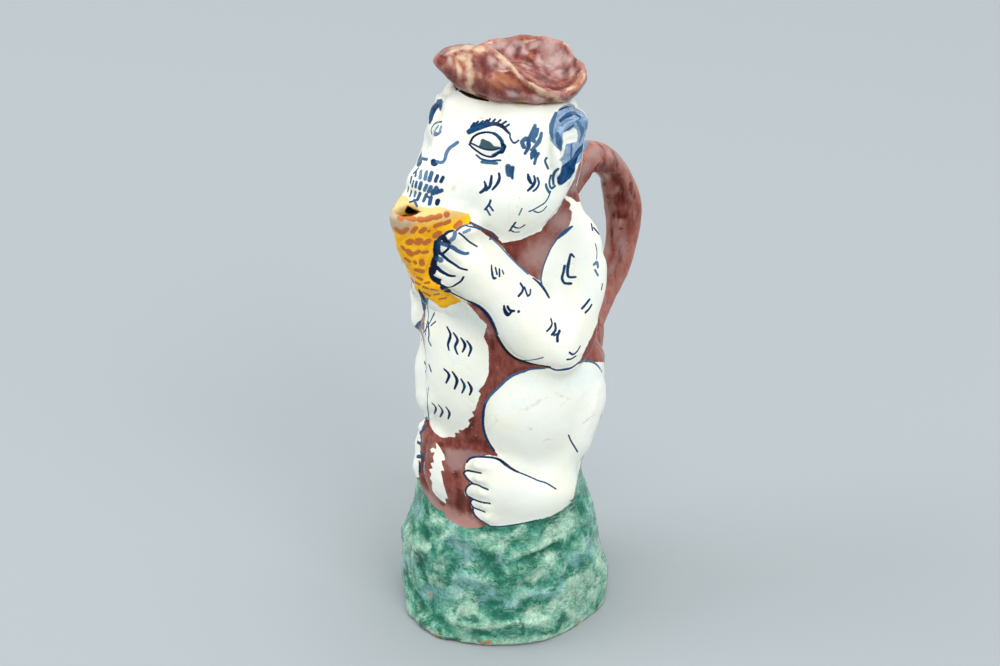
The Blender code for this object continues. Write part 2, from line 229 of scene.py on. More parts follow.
def voxelSkin(bm, name, voxel):
    # one closed skin over all the lumps of clay
    mesh = bpy.data.meshes.new(name)
    bm.to_mesh(mesh)
    bm.free()
    lump = bpy.data.objects.new(name, mesh)
    bpy.context.scene.collection.objects.link(lump)
    press = lump.modifiers.new("press", "REMESH")
    press.mode = "VOXEL"
    press.voxel_size = voxel
    bpy.context.view_layer.update()
    made = bpy.data.meshes.new_from_object(lump.evaluated_get(bpy.context.evaluated_depsgraph_get()))
    bpy.data.objects.remove(lump)
    return made


def copyOfNode(name):
    bm = bmesh.new()
    bm.from_mesh(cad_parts[name].data)
    bmesh.ops.remove_doubles(bm, verts=bm.verts, dist=1e-6)
    return bm


def drawnOut(points, pulls, reach):
    # the clay drawn across the picture, however deep it lies; near the ground it slides over the ground
    _, right, up, ahead = (np.array(v) for v in photoAxes())
    away = np.array([ahead[0], ahead[1], 0]) / np.hypot(ahead[0], ahead[1])
    pixels = project(points)
    push, total = np.zeros((len(points), 2)), np.zeros(len(points))
    for (x, y), (newX, newY) in pulls:
        pull = np.exp(-(((pixels - (x, y)) ** 2).sum(1)) / reach**2)
        push += pull[:, None] * (newX - x, newY - y)
        total += pull
    push *= photo["pixel"] / 1000 / np.maximum(total, 1)[:, None]
    lifted = softStep(points[:, 2], *hold["slides"])[:, None]
    climb = lifted * up + (1 - lifted) * away / math.sin(math.radians(photo["down"]))
    return points + push[:, :1] * right - push[:, 1:] * climb


def keptInside(points):
    # the clay eased in where it would pass the CAD box
    low, high = np.array(cadBox[0]) + hold["spare"], np.array(cadBox[1]) - hold["spare"]
    ease = hold["ease"]
    over, under = points - (high - ease), (low + ease) - points
    points = np.where(over > 0, high - ease * np.exp(-over / ease), points)
    level = points[:, 2].copy()
    points = np.where(under > 0, low + ease * np.exp(-under / ease), points)
    points[:, 2] = np.maximum(level, 0)
    return points


def softStep(value, low, high):
    t = np.clip((value - low) / (high - low), 0, 1)
    return t * t * (3 - 2 * t)


def distanceToRolls(points, stops):
    # signed distance to a chain of balls given as x, y, z and radius in millimetres, negative inside
    best = np.full(len(points), 1e3)
    for (ax, ay, az, ar), (bx, by, bz, br) in zip(stops, stops[1:]):
        start, run = np.array([ax, ay, az]), np.array([bx - ax, by - ay, bz - az])
        t = np.clip(((points - start) @ run) / (run @ run), 0, 1)
        gap = np.linalg.norm(points - start - t[:, None] * run, axis=1) - (ar + (br - ar) * t)
        best = np.minimum(best, gap)
    return best


def distanceToBall(points, centre, radii):
    # roughly the signed distance in millimetres to an upright squeezed ball
    away = (points - np.array(centre)) / np.array(radii)
    size = np.linalg.norm(away, axis=1)
    slope = np.linalg.norm(away / np.array(radii), axis=1) * min(radii)
    return (size - 1) * size * min(radii) / np.maximum(slope, 1e-6)


def insideLoop(pixels, loop):
    # signed distance in pixels to a closed loop of picks, positive inside
    corners = np.array(loop, float)
    best = np.full(len(pixels), 1e9)
    inside = np.zeros(len(pixels), bool)
    for a, b in zip(corners, np.roll(corners, -1, 0)):
        run = b - a
        t = np.clip(((pixels - a) @ run) / max(run @ run, 1e-9), 0, 1)
        best = np.minimum(best, np.linalg.norm(pixels - a - t[:, None] * run, axis=1))
        over = (a[1] > pixels[:, 1]) != (b[1] > pixels[:, 1])
        crossing = a[0] + (pixels[:, 1] - a[1]) / (run[1] if run[1] else 1e-9) * run[0]
        inside ^= over & (pixels[:, 0] < crossing)
    return np.where(inside, best, -best)


class Wire:
    # one socket of a material, so that shader maths reads as plain sums
    def __init__(self, tree, socket):
        self.tree = tree
        self.socket = socket

    def node(self, kind, settings, sockets, out=0):
        made = self.tree.nodes.new(kind)
        for key, value in settings.items():
            if key == "stops":
                ramp = made.color_ramp
                while len(ramp.elements) < len(value):
                    ramp.elements.new(0.5)
                for element, (place, colour) in zip(ramp.elements, value):
                    element.position = place
                    element.color = (*colour, 1)
            else:
                setattr(made, key, value)
        for key, value in sockets.items():
            if isinstance(value, Wire):
                self.tree.links.new(value.socket, made.inputs[key])
            else:
                made.inputs[key].default_value = value
        return Wire(self.tree, made.outputs[out])

    def maths(self, operation, *values):
        return self.node("ShaderNodeMath", {"operation": operation}, dict(enumerate(values)))

    def __add__(self, other):
        return self.maths("ADD", self, other)

    def __radd__(self, other):
        return self.maths("ADD", other, self)

    def __sub__(self, other):
        return self.maths("SUBTRACT", self, other)

    def __rsub__(self, other):
        return self.maths("SUBTRACT", other, self)

    def __mul__(self, other):
        return self.maths("MULTIPLY", self, other)

    def __rmul__(self, other):
        return self.maths("MULTIPLY", other, self)

    def __truediv__(self, other):
        return self.maths("DIVIDE", self, other)

    def least(self, other):
        return self.maths("MINIMUM", self, other)

    def most(self, other):
        return self.maths("MAXIMUM", self, other)

    def root(self):
        return self.maths("SQRT", self)

    def step(self, low, high):
        # 0 below low, 1 above high and smooth between; high may be the lower one
        sockets = {0: self, 1: low, 2: high, 3: 0.0, 4: 1.0}
        return self.node("ShaderNodeMapRange", {"interpolation_type": "SMOOTHSTEP"}, sockets)

    def mixed(self, under, over):
        # this socket as the share of one colour over another
        sockets = {0: self, 6: under, 7: over}
        return self.node("ShaderNodeMix", {"data_type": "RGBA"}, sockets, 2)

    def ramp(self, stops):
        return self.node("ShaderNodeValToRGB", {"stops": stops}, {0: self})

    def stretched(self, shares):
        # coordinates multiplied by a share along each axis
        return self.node("ShaderNodeVectorMath", {"operation": "MULTIPLY"}, {0: self, 1: shares})

    def moved(self, push):
        return self.node("ShaderNodeVectorMath", {"operation": "ADD"}, {0: self, 1: push})

    def scaled(self, share):
        return self.node("ShaderNodeVectorMath", {"operation": "SCALE"}, {0: self, 3: share})

    def parted(self, kind):
        # every output of a node that takes this socket apart
        outputs = self.node(kind, {}, {0: self}).socket.node.outputs
        return [Wire(self.tree, output) for output in outputs]

    def bumped(self, strength):
        # a surface normal, tilted by this height
        sockets = {"Strength": strength, "Distance": 0.0006, "Height": self}
        return self.node("ShaderNodeBump", {}, sockets)

    def feed(self, node, name):
        self.tree.links.new(self.socket, node.inputs[name])


def startGlaze(name):
    # a new material with its coordinates in millimetres, and its shader node
    glaze = bpy.data.materials.new(name)
    glaze.use_nodes = True
    tree = glaze.node_tree
    shader = tree.nodes["Principled BSDF"]
    shader.inputs["Specular IOR Level"].default_value = 0.12
    place = Wire(tree, tree.nodes.new("ShaderNodeTexCoord").outputs["Object"]).scaled(1000.0)
    return glaze, shader, place


def cloud(place, size, detail=3.0, rough=0.55, twist=0.0):
    # soft noise whose lumps are about so many millimetres across
    sockets = {"Vector": place, "Scale": 1 / size, "Detail": detail, "Roughness": rough, "Distortion": twist}
    return place.node("ShaderNodeTexNoise", {}, sockets)


def attribute(place, name):
    # the colour, vector, number and fourth channel of an attribute
    outputs = place.node("ShaderNodeAttribute", {"attribute_name": name}, {}).socket.node.outputs
    return [Wire(place.tree, output) for output in outputs]


def channels(place, name):
    # the four numbers of a painted attribute
    colour, _, _, fourth = attribute(place, name)
    return colour.parted("ShaderNodeSeparateColor") + [fourth]


# the ewer's clay: the CAD form softened, with its finer forms added and its folds pressed in
clay = {
    "broadVoxel": 0.0013,
    "broadRubs": 22,
    "fineVoxel": 0.00092,
    "fineRubs": 4,
    "settled": 0.0004,  # metres above the ground below which a corner lies on it
    "pullReach": 11.0,  # pixels around each pull on the outline
    "proud": 0.001,  # metres a fine form may stand out of the wall into the hollow
    "footReach": 22.0,
    "baseReach": 15.0,
    "temple": (449, 93),  # rubbed smooth once more, in pixels
    "templeReach": 10.0,
    "templeRubs": 14,
    "unevenness": 0.00028,  # of a hand-made wall
    "swells": (11, 4),  # millimetres from one swell to the next, broad and fine
    "fineShare": 0.4,
    "ledgeDepth": 0.0013,  # of the rock's rough ledges
    "ledgeShare": 0.3,  # of the finer breaks on them
    "triangles": 188000,
    # tips of the ears: the height where they are cut, the share cut off and where x starts and ends it
    "nearTip": (236, 0.5, 28.5, 31.5),
    "farTip": (228, 0.62, 27, 31),
    # balls that are not to be rubbed away on both sides: ear, hand and foot; then the mouth's own
    "delicate": (((33.5, 3, 232), (7, 14, 20)), ((12, -40, 190), (14, 16, 26)), ((22, -25, 74),
                 (12, 18, 18))),
    "lips": ((0, -54, 206), (16, 16, 14)),
    "rim": (236, 240),  # heights where the head's rim begins and is kept
}

fingers = {
    "count": 5,
    # x, y, z and radius along the first finger in millimetres, then how far the last one is from it
    "first": ((15, -35, 201, 3.4), (14.8, -42, 201, 3.5), (11.8, -46.4, 199.6, 3.1),
              (8.6, -48.4, 198.6, 2.6)),
    "last": ((-2.6, 1.5, -21), (-3.4, 0.5, -21), (-3, -1.5, -21.5), (-3, -1.5, -21.5)),
}

toes = {
    "count": 5,
    "stops": ((27, 3.2), (33, 3.4), (37.4, 2.9)),  # millimetres from the axis, and the radius there
    # height of the first toe, its drop to the next one, its turn from the front and the step of that
    "near": (87, 6.2, 25, 1.6),
    "far": (89, 5.2, 36, 1),
}

earRim = {
    "near": (33.5, -0.5, 232),
    "far": (-33, 6.5, 231),
    "stops": 11,
    "start": -150,  # degrees round the rim
    "step": 27,
    "rise": 15.5,
    "reach": 7.6,
    "swing": 0.14,
    "out": 1.3,
    "lean": 0.06,
    "radius": 2.1,
    "thinner": 0.5,  # at both ends
    "spacing": 1.0,
    "knob": ((0.4, -3.5, -5), (2.4, 2.6, 3.4)),  # the flap in front of the hollow
}

# chains of balls, as x, y, z and radius in millimetres; all but the handle stand on both sides
rolls = {
    "upperArm": ((23, 9, 203, 10), (28, 12, 190, 11.5), (30, 12, 175, 12), (31.5, 10, 160, 12.5),
                 (33, 3, 147, 13)),
    "foreArm": ((33, 3, 147, 13), (33, -3, 139, 13), (26, -12, 147, 13.5), (20, -20, 158, 13.5),
                (16.5, -28, 170, 12.5), (14.5, -34, 180, 11), (13, -38, 186, 9.5)),
    "handle": ((0, 36, 192, 8), (0, 44, 195, 8), (0, 58, 193.5, 7), (0, 69.5, 185, 7), (0, 77, 172, 7),
               (0, 79.5, 158, 7), (0, 77.5, 145, 7), (0, 72, 131, 7), (0, 63.5, 116, 7), (0, 52, 101, 8),
               (0, 40, 90, 10)),
    "farElbow": ((-33, 2, 143, 12.3), (-34.3, -4, 133, 11.6), (-29, -13, 140, 12.8)),
    "lowLeg": ((25, 7, 95, 15), (26, 4, 81, 13), (27, 0, 68, 12), (30.5, -5, 66, 10), (22, -23, 74, 13)),
}


def addBall(lump, centre, radii, lean=(0, 0, 0)):
    # centre and radii in millimetres, lean in degrees
    ball = bmesh.new()
    turned = Euler([math.radians(angle) for angle in lean]).to_matrix().to_4x4()
    size = Matrix.Diagonal([radius / 1000 for radius in radii] + [1])
    place = Matrix.Translation(Vector(centre) / 1000) @ turned @ size
    bmesh.ops.create_icosphere(ball, subdivisions=3, radius=1, matrix=place)
    scratch = bpy.data.meshes.new("ball")
    ball.to_mesh(scratch)
    ball.free()
    lump.from_mesh(scratch)
    bpy.data.meshes.remove(scratch)


def addRoll(lump, stops, spacing=1.2):
    for x, y, z, radius in alongCurve(stops, spacing):
        addBall(lump, (x, y, z), (radius,) * 3)


def addFingers(lump, side):
    for k in range(fingers["count"]):
        low = k / (fingers["count"] - 1)
        stops = []
        for (x, y, z, radius), (across, ahead, down) in zip(fingers["first"], fingers["last"]):
            stops.append((side * (x + across * low), y + ahead * low, z + down * low, radius))
        addRoll(lump, stops)


def addToes(lump, side):
    height, drop, turn, step = toes["near" if side > 0 else "far"]
    for k in range(toes["count"]):
        angle = math.radians(turn + step * k)
        stops = []
        for reach, radius in toes["stops"]:
            across, ahead = reach * math.sin(angle), -reach * math.cos(angle)
            stops.append((side * across, ahead, height - drop * k, radius))
        addRoll(lump, stops)


def addEar(lump, side):
    # the rim of the ear, from its root in front over the top to the lobe
    x, y, z = earRim["near" if side > 0 else "far"]
    stops = []
    for k in range(earRim["stops"]):
        turn = math.radians(earRim["start"] + earRim["step"] * k)
        rise, reach = earRim["rise"] * math.cos(turn), earRim["reach"] * math.sin(turn)
        swing = earRim["swing"] * rise
        radius = earRim["radius"] - earRim["thinner"] * (k in (0, earRim["stops"] - 1))
        out = side * (earRim["out"] - earRim["lean"] * rise)
        stops.append((x + out, y + reach + swing, z + rise, radius))
    addRoll(lump, stops, earRim["spacing"])
    (right, back, up), radii = earRim["knob"]
    addBall(lump, (x + side * right, y + back, z + up), radii)


def addFineForms(lump):
    for side in (1, -1):
        addFingers(lump, side)
        addToes(lump, side)
        addEar(lump, side)
        addBall(lump, (side * 14, -23.6, 235.5), (7, 5, 5.6), (0, 0, side * 20))  # eyeball
        addBall(lump, (side * 5, -38.6, 228), (4, 4, 3.6))  # wing of the nose
    addRoll(lump, [(0, -17, 246, 8.5), (0, -25, 239, 8.2), (0, -34, 231.5, 6.6), (0, -39, 228.5, 4.6)])
    addBall(lump, (0, -13.5, 75), (23, 27.3, 27))  # the lap, between the feet
    addRoll(lump, rolls["farElbow"])
    addRoll(lump, [(0, 26, 181, 9.5), (0, 38, 186.5, 8.5), (0, 48, 191, 7)])  # under the handle's root
    addBall(lump, (-6, -19.5, 75), (13, 20.5, 28))  # the lap before the far foot
    addBall(lump, (2, -42.3, 3.5), (10, 7.4, 7))  # stones at the foot
    addBall(lump, (-5, -43, 3.3), (9, 7, 6.3))


# folds pressed into the clay as (width, depth, picks): both in millimetres, picks in pixels
grooves = [
    (1.7, 0.7, ((459, 233), (463, 236), (469, 241.5), (477, 246.5))),
    (1.7, 0.8, ((441, 243), (447, 245), (453, 247.5), (458, 251), (464, 253.5))),
    (1.7, 0.8, ((438, 251), (443, 255.5), (448, 260), (454, 264), (460, 268))),
    (1.7, 0.8, ((437, 267), (441, 271), (446, 274), (452, 276))),
    (1.8, 0.9, ((439, 240), (437, 248), (434.5, 259), (432, 268), (431, 275), (437, 281), (445, 287),
                (455, 294), (467, 301))),
    (1.8, 0.9, ((464, 471), (473, 471.5), (481, 473))),
    (1.8, 0.9, ((471, 483.5), (478, 485), (488, 489.5))),
    (1.8, 0.9, ((467.5, 496.5), (473, 499), (481, 502), (490, 503.5))),
    (1.6, 0.7, ((473, 506.5), (480, 510), (485, 512))),
    (1.8, 0.6, ((463, 464), (470, 458), (484, 456), (492, 457.5), (505, 464), (518, 472), (538, 480.5),
                (556, 489))),
    (2.2, 0.7, ((545, 368.5), (530, 369.5), (518, 373), (508, 378.5), (498, 388), (490, 396), (485, 404),
                (483, 424), (489, 443), (500, 457))),
    (2.2, 0.8, ((468, 302), (481, 308), (492, 322), (498, 338), (511, 355), (530, 364), (549, 367.5),
                (564, 369.5), (579, 362), (588, 345))),
    (2.0, 0.6, ((491, 238), (508, 255), (528, 274), (544, 289), (549, 297.5))),
    (2.2, 0.6, ((558, 238), (551, 248), (543, 268), (541, 280))),
    (2.0, 0.5, ((470, 222), (492, 232), (503, 243), (520, 240), (541, 231), (557, 212), (566, 196))),
    (1.4, 0.6, ((469.5, 144.5), (473, 137.5), (482, 132.8), (492, 133), (500, 139), (504.5, 147))),
    (1.4, 0.5, ((469.5, 144.5), (477, 151), (486, 156), (495, 156), (502, 151.5))),
    (1.8, 0.6, ((457.5, 142.5), (450, 147.8), (446, 155), (443, 162))),
    (1.6, 1.0, ((561, 149), (564, 157), (562, 163))),
    (2.4, 1.6, ((565, 133), (570, 134), (575, 132))),
    (2.2, 1.6, ((567, 143), (571, 141), (575, 142))),
    (1.8, 1.0, ((559, 122), (565, 118), (573, 116), (580, 118), (583, 126))),
    (1.8, 1.0, ((583, 128), (584, 138), (581, 148), (576, 158))),
    (2.2, 1.3, ((597, 167), (605, 170), (612, 176), (617, 184), (620, 195), (621.5, 206))),
    (2.4, 1.0, ((612, 214), (620, 216), (629, 217))),
    (2.0, 0.8, ((600, 158), (606, 152), (603, 148))),
    (1.6, -0.6, ((604, 156), (597, 163), (588, 174), (580, 186))),
    (2.0, -0.6, ((606, 152), (617, 162), (627, 178), (632, 198), (633, 220))),
    (2.0, 0.8, ((606, 232), (612, 240), (612, 256))),
]

# the rock's own ledges and hollows, in the same way
ledges = [
    (2.6, -1.3, ((512, 556), (530, 549), (545, 543), (557, 537))),
    (2.0, 1.6, ((520, 565), (535, 558), (547, 553), (560, 545))),
    (2.4, 1.2, ((543, 605), (555, 597), (565, 580), (575, 567), (585, 555), (588, 540))),
    (2.2, 1.0, ((518, 580), (530, 585), (545, 586), (556, 582))),
    (2.6, 1.2, ((445, 545), (470, 552), (492, 562), (500, 578))),
    (2.2, 1.0, ((428, 530), (424, 560), (430, 600), (440, 622))),
    (2.2, 1.1, ((415, 545), (411, 575), (415, 598))),
    (2.6, 1.1, ((455, 585), (470, 600), (490, 606), (512, 600))),
    (2.4, 1.0, ((500, 620), (525, 612), (548, 612))),
    (2.4, -1.0, ((470, 615), (490, 622), (520, 624), (550, 616))),
    (2.4, -1.0, ((560, 570), (575, 580), (585, 600))),
]


def pressed(points, normals, laid):
    # the clay after pressing each fold in along its normal, the deepest fold counting
    push = np.zeros(len(points))
    for hits, sizes, depth in laid:
        line = np.array([hit for hit, _ in hits]) / 1000
        facing = np.array([normal for _, normal in hits])
        width = sizes[0] / 1000
        near = ((points > line.min(0) - 3 * width) & (points < line.max(0) + 3 * width)).all(1)
        near = np.nonzero(near)[0]
        if not len(near):
            continue
        gaps = np.linalg.norm(points[near][:, None] - line[None], axis=2)
        best = gaps.argmin(1)
        ends = np.minimum(np.arange(len(line)), np.arange(len(line))[::-1])
        fade = np.clip((ends + 1.5) / 4, 0.3, 1)[best]
        amount = -depth / 1000 * fade * np.exp(-(gaps[np.arange(len(near)), best] / width) ** 2)
        amount[(normals[near] * facing[best]).sum(1) < 0.1] = 0
        stronger = np.abs(amount) > np.abs(push[near])
        push[near[stronger]] = amount[stronger]
    return points + normals * push[:, None]


def roughened(points, normals, inside):
    # hand-made unevenness everywhere, and broken ledges over the rock
    push = np.zeros(len(points))
    broad, fine = clay["swells"]
    for i in np.nonzero(~inside)[0]:
        x, y, z = points[i] * 1000
        push[i] = clay["unevenness"] * noise.noise((x / broad, y / broad, z / broad))
        push[i] += clay["unevenness"] * clay["fineShare"] * noise.noise((x / fine, y / fine, z / fine))
        rocky = min(max((60 - z) / 5, 0), 1) * min(max((z - 1.5) / 4, 0), 1)
        if rocky > 0:
            where = (x / 21 + 3.1, y / 21, (z + 0.35 * x) / 13)
            crag = noise.ridged_multi_fractal(where, 0.9, 2.1, 3, 0.9, 2.0)
            push[i] += clay["ledgeDepth"] * rocky * (crag - 1.2)
            broken = noise.noise((x / fine, y / fine, z / fine))
            push[i] += clay["ledgeDepth"] * rocky * clay["ledgeShare"] * broken
    return points + normals * push[:, None]


def trimmedEars(points):
    # the tips of the ears sit lower under the hat than the CAD form's, most of all the far one's
    mm = points * 1000
    drop = np.zeros(len(mm))
    for side, (height, share, start, end) in ((1, clay["nearTip"]), (-1, clay["farTip"])):
        drop += np.maximum(mm[:, 2] - height, 0) * share * softStep(side * mm[:, 0], start, end)
    mm[:, 2] -= drop
    return mm / 1000


def isHollow(corners, normals, tree):
    # true for the walls inside, where no look gets out past the clay
    turns = [math.pi * 2 * k / 8 for k in range(8)]
    looks = [Vector((math.cos(t), math.sin(t), rise)).normalized() for t in turns for rise in (-0.5, 0.2)]
    hidden = np.zeros(len(corners), bool)
    for i, (corner, normal) in enumerate(zip(corners, normals)):
        start = Vector(corner) + Vector(normal) * 0.0004
        hidden[i] = all(tree.ray_cast(start, look, 0.4)[0] is not None for look in looks)
    return hidden


def nearestFlags(points, samples, flags):
    finder = KDTree(len(samples))
    for i, sample in enumerate(samples):
        finder.insert(sample, i)
    finder.balance()
    return np.array([flags[finder.find(point)[1]] for point in points])


def delicacy(mm):
    # how many millimetres each corner is from the forms that are not to be rubbed away
    near = np.full(len(mm), 50.0)
    for points in (mm, mm * [-1, 1, 1]):
        for centre, radii in clay["delicate"]:
            near = np.minimum(near, distanceToBall(points, centre, radii))
    near = np.minimum(near, distanceToBall(mm, *clay["lips"]))
    start, kept = clay["rim"]
    return np.minimum(near, np.where(mm[:, 2] > start, kept - mm[:, 2], 50))


# pulls on the rock's foot, then on the ewer's outline and last small ones on the finished clay
footPulls = (
    ((395, 600), (394.5, 601)), ((401, 610), (398, 612)), ((410, 620), (403.5, 622)),
    ((420, 626), (414, 631)), ((432, 632), (427, 637)), ((446, 637), (444, 643)),
    ((462, 640), (461, 646)), ((480, 643), (480, 648.5)), ((500, 643.5), (500, 649.5)),
    ((520, 642.5), (521, 648.5)), ((540, 639), (541, 644)), ((558, 634), (559, 638)),
    ((573, 627), (574, 633)), ((588, 617), (587, 625)), ((600, 605), (598, 610)), ((609, 608), (606, 609)),
)
lastPulls = (
    ((448, 80), (452, 87)), ((455, 80), (457, 86)), ((578, 98), (571, 101)), ((574, 94), (569, 98)),
    ((418, 290), (413, 290)), ((410, 320), (412, 320)), ((418, 330), (416, 330)), ((425, 340), (422, 340)),
    ((422, 400), (419, 400)), ((427, 410), (422, 410)), ((422, 420), (425, 420)), ((421, 430), (418, 430)),
    ((421, 440), (417, 440)), ((419, 470), (416, 470)), ((418, 480), (416.5, 480)),
    ((393, 545), (400, 545)), ((393, 555), (401, 555)), ((391.5, 565), (399, 565)), ((391, 575), (396, 575)),
    ((392, 590), (393, 590)), ((395, 600), (394.5, 600)), ((403, 620), (403, 620)),
    ((609, 549), (603, 549)), ((616, 558), (608, 558)), ((617, 570), (610, 570)), ((617, 580), (611, 580)),
    ((618, 590), (610.5, 590)), ((615, 600), (609, 600)), ((612, 610), (607, 610)), ((604, 620), (601, 620)),
    ((591, 630), (588, 630)), ((598, 539), (595.5, 539)), ((583, 450), (586, 450)),
)
basePulls = (
    ((405, 530), (403, 530)), ((407, 537), (401.5, 537)), ((410, 545), (400.5, 545)),
    ((410, 553), (400.5, 553)), ((409, 561), (400, 561)), ((408, 569), (400, 569)),
    ((407, 577), (401.5, 577)), ((405.5, 585), (402, 585)), ((404, 593), (403.3, 593)),
    ((402.5, 601), (405.5, 601)), ((402, 609), (408.7, 609)), ((404.5, 616), (411, 615)),
    ((410, 623), (416, 622)), ((416, 630), (424, 628.5)), ((429, 637), (432, 634)),
    ((441, 642), (442, 638.5)), ((453, 643), (453.5, 641)), ((465, 645), (465, 642)),
    ((477, 648), (477, 643.5)), ((489, 649), (489, 645)), ((501, 649), (501, 645)),
    ((513, 648), (513, 645)), ((525, 646), (525, 643)), ((537, 644), (537, 641)),
    ((549, 640), (549, 638)), ((561, 633), (562, 633)), ((573, 625), (577, 630.5)),
    ((585, 616), (591, 624)), ((592, 609), (600, 614.5)), ((597, 601), (602, 602.5)),
    ((598, 593), (604.5, 593)), ((599, 585), (606, 585)), ((599, 577), (607, 577)),
    ((599, 569), (608, 569)), ((598, 561), (609, 561)), ((595.5, 553), (606, 553)),
    ((593, 545), (599, 545)), ((593, 537), (595.5, 537)),
)
rimPulls = (
    ((452, 86), (448.5, 86)), ((450, 90), (443, 90)), ((449, 94), (439.5, 94)), ((440, 98), (436, 98)),
    ((439, 102), (435.5, 102)), ((433, 106), (433, 106)), ((432, 112), (434, 112)),
    ((432, 122), (430, 122)), ((427, 130), (426, 130)), ((571, 99), (573, 100)),
    ((571, 106), (579, 105.5)), ((578, 110), (580.5, 110)), ((582, 114), (584, 114)),
    ((404, 270), (405.5, 270)), ((407, 280), (411, 280)), ((409, 290), (411, 290)),
    ((407, 300), (410, 300)), ((416, 340), (420, 340)), ((427, 410), (423, 410)),
    ((422, 420), (424, 420)), ((412, 440), (416, 440)), ((413, 450), (414.5, 450)),
    ((414, 470), (414, 470)), ((606, 380), (604, 380)),
)

# each pull as the pixel where the clay stands and the one where it goes
ewerPulls = (
    ((439, 90), (443, 90)), ((435, 100), (438, 100)), ((428, 110), (431, 110)), ((426, 120), (427.5, 120)),
    ((423, 130), (425, 130)), ((417.5, 140), (424, 140)), ((414.5, 150), (421, 150)),
    ((412.5, 160), (417, 160)), ((412, 170), (412, 170)), ((414, 180), (408, 180)),
    ((403, 190), (405.5, 190)), ((395, 200), (396.5, 200)), ((387, 220), (388.5, 220)),
    ((390, 230), (392, 230)), ((408, 280), (411, 280)), ((407.5, 290), (411, 290)),
    ((406, 300), (410, 300)), ((407, 310), (410, 310)), ((413, 320), (411.5, 320)),
    ((424, 332), (417, 331)), ((421, 342), (421, 342)), ((417, 350), (417, 350)),
    ((422, 415), (425, 415)), ((415, 430), (418, 430)), ((412, 442), (416, 442)),
    ((412, 452), (414.5, 452)), ((414, 462), (413.5, 462)), ((406, 530), (403, 530)),
    ((395, 540), (401, 541)), ((391.5, 550), (401.5, 551)), ((388, 560), (399.5, 561)),
    ((387.5, 570), (398.5, 571)), ((387, 580), (395, 581)), ((391, 590), (393.5, 591)),
    ((613, 600), (609, 600)), ((617, 588), (610.5, 588)), ((617, 576), (611, 576)),
    ((616, 564), (610, 563)), ((608, 552), (604, 552)), ((601, 541), (596.5, 541)),
    ((597, 530), (595, 530)), ((591, 512), (595, 512)), ((588, 500), (591.5, 500)),
    ((586, 490), (589, 490)), ((584, 478), (584, 478)), ((583, 466), (578, 462)),
    ((583, 455), (582, 455)), ((587, 440), (590, 440)), ((590.5, 430), (595.5, 430)),
    ((593, 420), (599, 420)), ((597, 410), (604, 410)), ((600.5, 400), (605, 400)),
    ((602.5, 388), (606, 388)), ((600.5, 350), (604, 352)), ((609, 320), (604.5, 320)),
    ((613, 310), (610, 310)), ((616, 300), (614, 300)), ((624, 270), (626, 270)),
    ((629, 260), (631.5, 260)), ((632, 250), (634.5, 250)), ((634.5, 240), (637.5, 240)),
    ((636, 230), (640, 230)), ((637.5, 220), (642, 220)), ((637.5, 210), (642.5, 210)),
    ((637, 198), (640.5, 198)), ((635, 186), (637, 186)), ((630, 172), (630, 171)),
    ((618, 154.5), (618, 153.5)), ((606, 147), (605, 144.5)), ((594, 144), (593, 141)),
    ((586, 143.5), (586, 140.5)), ((599, 168), (596, 171)), ((604, 175), (598, 180)),
    ((611, 188), (602, 192)), ((612.5, 202), (605, 203)), ((612.5, 216), (606, 216)),
    ((611, 230), (606, 230)), ((608, 245), (604.5, 245)), ((594, 178), (589, 179)),
    ((588, 189), (578, 197)), ((594, 200), (583, 211)), ((599, 212), (590, 221)),
    ((603.5, 226), (598, 233)), ((606, 245), (603.5, 246)),
)


def clearedInside(points, solid, hollow, inside):
    # what the fine forms leave standing in the hollow goes back to the wall of the solid
    walls = treeOf(solid)
    within = [all(hollow[i] for i in face.vertices) for face in solid.polygons]
    moved = 0
    for i in np.nonzero(inside)[0]:
        near, _, face, gap = walls.find_nearest(points[i].tolist())
        if within[face] and gap > clay["proud"]:
            points[i] = np.array(near) + (points[i] - near) * (clay["proud"] / gap)
            moved += 1
    print("corners put back to the inner wall", moved)
    return points


def makeEwerClay():
    rough = copyOfNode("ewer")
    solid = bpy.data.meshes.new("solidClay")
    rough.to_mesh(solid)
    corners, _ = meshToClay(solid)
    hollow = isHollow(corners, normalsOf(solid), treeOf(solid))
    broad = voxelSkin(rough, "broadClay", clay["broadVoxel"])
    points, edgeList = meshToClay(broad)
    mm = points * 1000
    softness = 0.15 + 0.85 * softStep(delicacy(mm), -2, 6)
    softness[mm[:, 2] < 2] = 0.05  # the foot stays sharp
    putBack(broad, rubbed(points, edgeList, clay["broadRubs"], softness))
    lump = bmesh.new()
    lump.from_mesh(broad)
    addFineForms(lump)
    fine = voxelSkin(lump, "ewerClay", clay["fineVoxel"])
    points, edgeList = meshToClay(fine)
    points = rubbed(points, edgeList, clay["fineRubs"], np.ones(len(points)))
    points = clearedInside(points, solid, hollow, nearestFlags(points, corners, hollow))
    points[:, 2] = np.maximum(points[:, 2], 0)
    points[points[:, 2] < clay["settled"], 2] = 0
    points = trimmedEars(points)
    points = drawnOut(points, footPulls, clay["footReach"])
    points = drawnOut(points, ewerPulls, clay["pullReach"])
    putBack(fine, points)
    inside = nearestFlags(points, corners, hollow)
    bpy.data.meshes.remove(solid)
    bpy.data.meshes.remove(broad)
    print("ewer clay", len(points), "corners, inside", int(inside.sum()))
    return fine, inside


